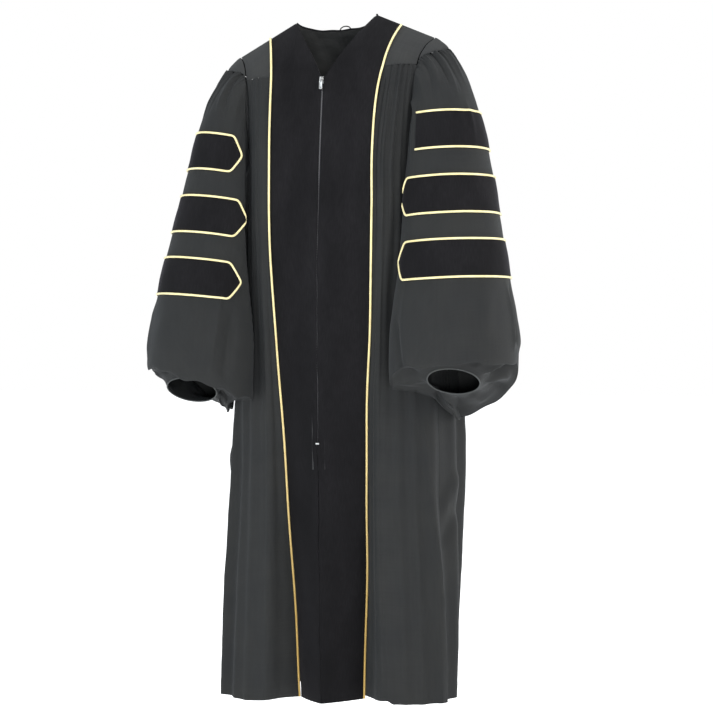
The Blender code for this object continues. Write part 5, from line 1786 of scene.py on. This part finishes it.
@dataclass
class Zip:
    """The centre zip: tape, coil, slider, pull tab and stop."""

    pitch: float = 0.0024

    def place(self, obj: bpy.types.Object) -> None:
        """Leans a small metal piece with the cloth and moves it to the pull's axis, in its mesh."""
        turn = -PULL_LEAN
        for vertex in obj.data.vertices:
            x, y, z = vertex.co
            vertex.co = Vector(
                (
                    x + PULL_AXIS[0],
                    y * math.cos(turn) - z * math.sin(turn) + PULL_AXIS[1],
                    y * math.sin(turn) + z * math.cos(turn) + PULL_AXIS[2],
                )
            )

    def build_tape(self) -> None:
        """The woven tape behind the slot."""
        heights = spread(-0.138, -0.853, 180)
        width = 0.013
        across = spread(-1.0, 1.0, 8)
        front = FORM.panel(np.zeros_like(heights), heights)
        points = np.stack([front + np.array((a * width, 0.0035 + 0.0015 * abs(a), 0.0)) for a in across])
        out = np.broadcast_to(np.array((0.0, -1.0, 0.0)), points.shape)
        points = leaned(points)
        obj = cloth_grid("zip_tape", points, out, lengths_uv(points))
        thicken(obj, 0.0008)
        dress(obj, TAPE, GOWN, ["zip_tape"])

    def build_coil(self) -> None:
        """The zip's meshed teeth, a row of small rounded blocks on the tape."""
        work = bmesh.new()
        heights = np.arange(-0.124, ZIP_STOP_Z, -self.pitch)
        front = FORM.panel(np.zeros_like(heights), heights)
        for index, point in enumerate(front):
            aside = 0.0004 * (1 if index % 2 else -1)
            deep = 0.0010 + 0.0016 * float(ease(np.array([(ZIP_COVER_Z + 0.03 - point[2]) / 0.08]))[0])
            low = (aside - 0.0010, point[1] + deep, point[2] - 0.0009)
            high = (aside + 0.0010, point[1] + deep + 0.0012, point[2] + 0.0009)
            box(work, low, high)
        round_edges(work, work.edges, 0.0003, 1)
        obj = object_of("zip_coil", work)
        dress(obj, COIL, GOWN, [])

    def build_slider(self) -> None:
        """The slider's shaped front plate with its bail and rear plate."""
        work = bmesh.new()
        plate = box(work, (-0.0042, 0.0022, -0.0075), (0.0042, 0.0040, 0.0050))
        for vertex in plate:
            if vertex.co.z < 0:
                vertex.co.x *= 0.66
        neck = (-0.0008, 0.0036, -0.0005), (0.0008, 0.0138, 0.0040)
        rear = (-0.0038, 0.0133, -0.0060), (0.0038, 0.0147, 0.0045)
        low_foot = (-0.0008, -0.0026, -0.0036), (0.0008, 0.0026, -0.0022)
        high_foot = (-0.0008, -0.0026, 0.0022), (0.0008, 0.0026, 0.0036)
        bridge = (-0.0008, -0.0036, -0.0036), (0.0008, -0.0022, 0.0036)
        for low, high in (neck, rear, low_foot, high_foot, bridge):
            box(work, low, high)
        round_edges(work, work.edges, 0.0004)
        obj = object_of("zip_slider", work)
        self.place(obj)
        dress(obj, SILVER, GOWN, ["zip_slider"])

    def build_pull(self) -> None:
        """The pull tab: a bar in the bail, two arms and a rounded blade with a raised rim."""
        work = bmesh.new()
        box(work, (-0.0032, -0.0007, -0.0007), (0.0032, 0.0007, 0.0007))
        box(work, (0.0018, -0.0007, -0.0072), (0.0032, 0.0007, 0.0004))
        box(work, (-0.0032, -0.0007, -0.0072), (-0.0018, 0.0007, 0.0004))
        blade = box(work, (-0.0032, -0.0007, -0.0200), (0.0032, 0.0007, -0.0058))
        corners = dict.fromkeys(
            edge
            for vertex in blade
            for edge in vertex.link_edges
            if abs(edge.verts[0].co.y - edge.verts[1].co.y) > 0.001
        )
        low_corners = [edge for edge in corners if edge.verts[0].co.z < -0.015]
        round_edges(work, low_corners, 0.0024, 5)
        front = [face for face in work.faces if face.normal.y < -0.9 and face.calc_center_median().z < -0.009]
        inner = bmesh.ops.inset_region(work, faces=front, thickness=0.0009, depth=-0.0003)
        log.info("pull rim: %d faces", len(inner["faces"]))
        round_edges(work, [edge for edge in work.edges if edge.calc_length() > 0.004], 0.0002, 1)
        obj = object_of("zip_pull", work)
        self.place(obj)
        dress(obj, SILVER, PULL_BODY, ["zip_pull"])

    def build_stop(self) -> None:
        """The stop's rounded metal clip."""
        low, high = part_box("zip_stop")
        work = bmesh.new()
        box(work, low, high)
        round_edges(work, work.edges, 0.0006)
        obj = object_of("zip_stop", work)
        dress(obj, SILVER, GOWN, ["zip_stop"])

    def build(self) -> None:
        """Builds the whole zip."""
        self.build_tape()
        self.build_coil()
        self.build_slider()
        self.build_pull()
        self.build_stop()


# ---------------------------------------------------------------- the studio


@dataclass
class Studio:
    """A pale floor, soft light and the camera."""

    aim: Vector = field(default_factory=lambda: Vector((0.0, 0.0, -0.636)))
    distance: float = 3.4
    turn: float = math.radians(20.0)
    scale: float = 507.0
    frame_size: float = 713.0
    centre_x: float = 336.0
    floor_z: float = -1.40

    def camera(self) -> None:
        """The camera, level with the gown's middle and turned a little to the wearer's left."""
        lens = bpy.data.cameras.new("camera")
        lens.sensor_width = 36.0
        lens.lens = self.scale * self.distance / self.frame_size * lens.sensor_width
        lens.shift_x = (self.frame_size / 2 - self.centre_x) / self.frame_size
        lens.clip_end = 60.0
        obj = bpy.data.objects.new("camera", lens)
        bpy.context.scene.collection.objects.link(obj)
        obj.location = self.aim + Vector((math.sin(self.turn), -math.cos(self.turn), 0.0)) * self.distance
        obj.rotation_euler = (math.radians(90.0), 0.0, self.turn)
        bpy.context.scene.camera = obj

    def softbox(
        self, name: str, at: tuple[float, float, float], size: float, power: float, tint: tuple
    ) -> None:
        """One large soft light, aimed at the gown."""
        light = bpy.data.lights.new(name, "AREA")
        light.shape = "SQUARE"
        light.size = size
        light.energy = power
        light.color = tint
        obj = bpy.data.objects.new(name, light)
        bpy.context.scene.collection.objects.link(obj)
        obj.location = at
        obj.rotation_euler = (self.aim - Vector(at)).to_track_quat("-Z", "Y").to_euler()

    def floor(self) -> None:
        """The plain pale floor."""
        work = bmesh.new()
        bmesh.ops.create_grid(work, x_segments=1, y_segments=1, size=30.0)
        bmesh.ops.translate(work, verts=work.verts, vec=(0.0, 0.0, self.floor_z))
        obj = object_of("floor", work, smooth=False)
        shader = Shader("floor_paint")
        shader.set(Roughness=0.9, Specular_IOR_Level=0.0, Emission_Strength=0.72)
        shader.surface.inputs["Base Color"].default_value = (0.92, 0.92, 0.92, 1.0)
        shader.surface.inputs["Emission Color"].default_value = (1.0, 1.0, 1.0, 1.0)
        obj.data.materials.append(shader.material)

    def world(self) -> None:
        """White surroundings that light the gown more softly than they look."""
        world = bpy.data.worlds.new("studio")
        bpy.context.scene.world = world
        world.use_nodes = True
        tree = world.node_tree
        lighting = tree.nodes["Background"]
        lighting.inputs["Color"].default_value = (0.93, 0.97, 1.0, 1.0)
        lighting.inputs["Strength"].default_value = 0.62
        seen = tree.nodes.new("ShaderNodeBackground")
        seen.inputs["Color"].default_value = (1.0, 1.0, 1.0, 1.0)
        seen.inputs["Strength"].default_value = 1.0
        path = tree.nodes.new("ShaderNodeLightPath")
        mix = tree.nodes.new("ShaderNodeMixShader")
        tree.links.new(path.outputs["Is Camera Ray"], mix.inputs[0])
        tree.links.new(lighting.outputs[0], mix.inputs[1])
        tree.links.new(seen.outputs[0], mix.inputs[2])
        tree.links.new(mix.outputs[0], tree.nodes["World Output"].inputs[0])

    def build(self) -> None:
        """Sets up everything around the gown."""
        self.camera()
        self.floor()
        self.world()
        self.softbox("key", (2.6, -2.2, 1.5), 1.3, 74.0, (1.0, 0.985, 0.95))
        self.softbox("fill", (-2.2, -2.8, 0.2), 2.4, 52.0, (0.88, 0.96, 1.0))
        self.softbox("low", (1.0, -2.9, -1.15), 0.7, 34.0, (0.97, 0.99, 1.0))
        self.softbox("top", (0.2, 0.3, 2.4), 1.6, 45.0, (1.0, 1.0, 1.0))
        self.softbox("rim", (2.4, 1.6, -0.2), 1.4, 30.0, (1.0, 0.98, 0.94))
        bpy.context.scene.view_settings.view_transform = "Standard"


def main() -> None:
    """Builds the gown and its studio."""
    logging.basicConfig(level=logging.INFO, format="%(message)s")
    Studio().build()
    Skirt().build()
    Yokes().build()
    Panels().build()
    for side in Side:
        Sleeve(side).build()
    NeckTrim().build()
    Zip().build()


if __name__ == "__main__":
    main()
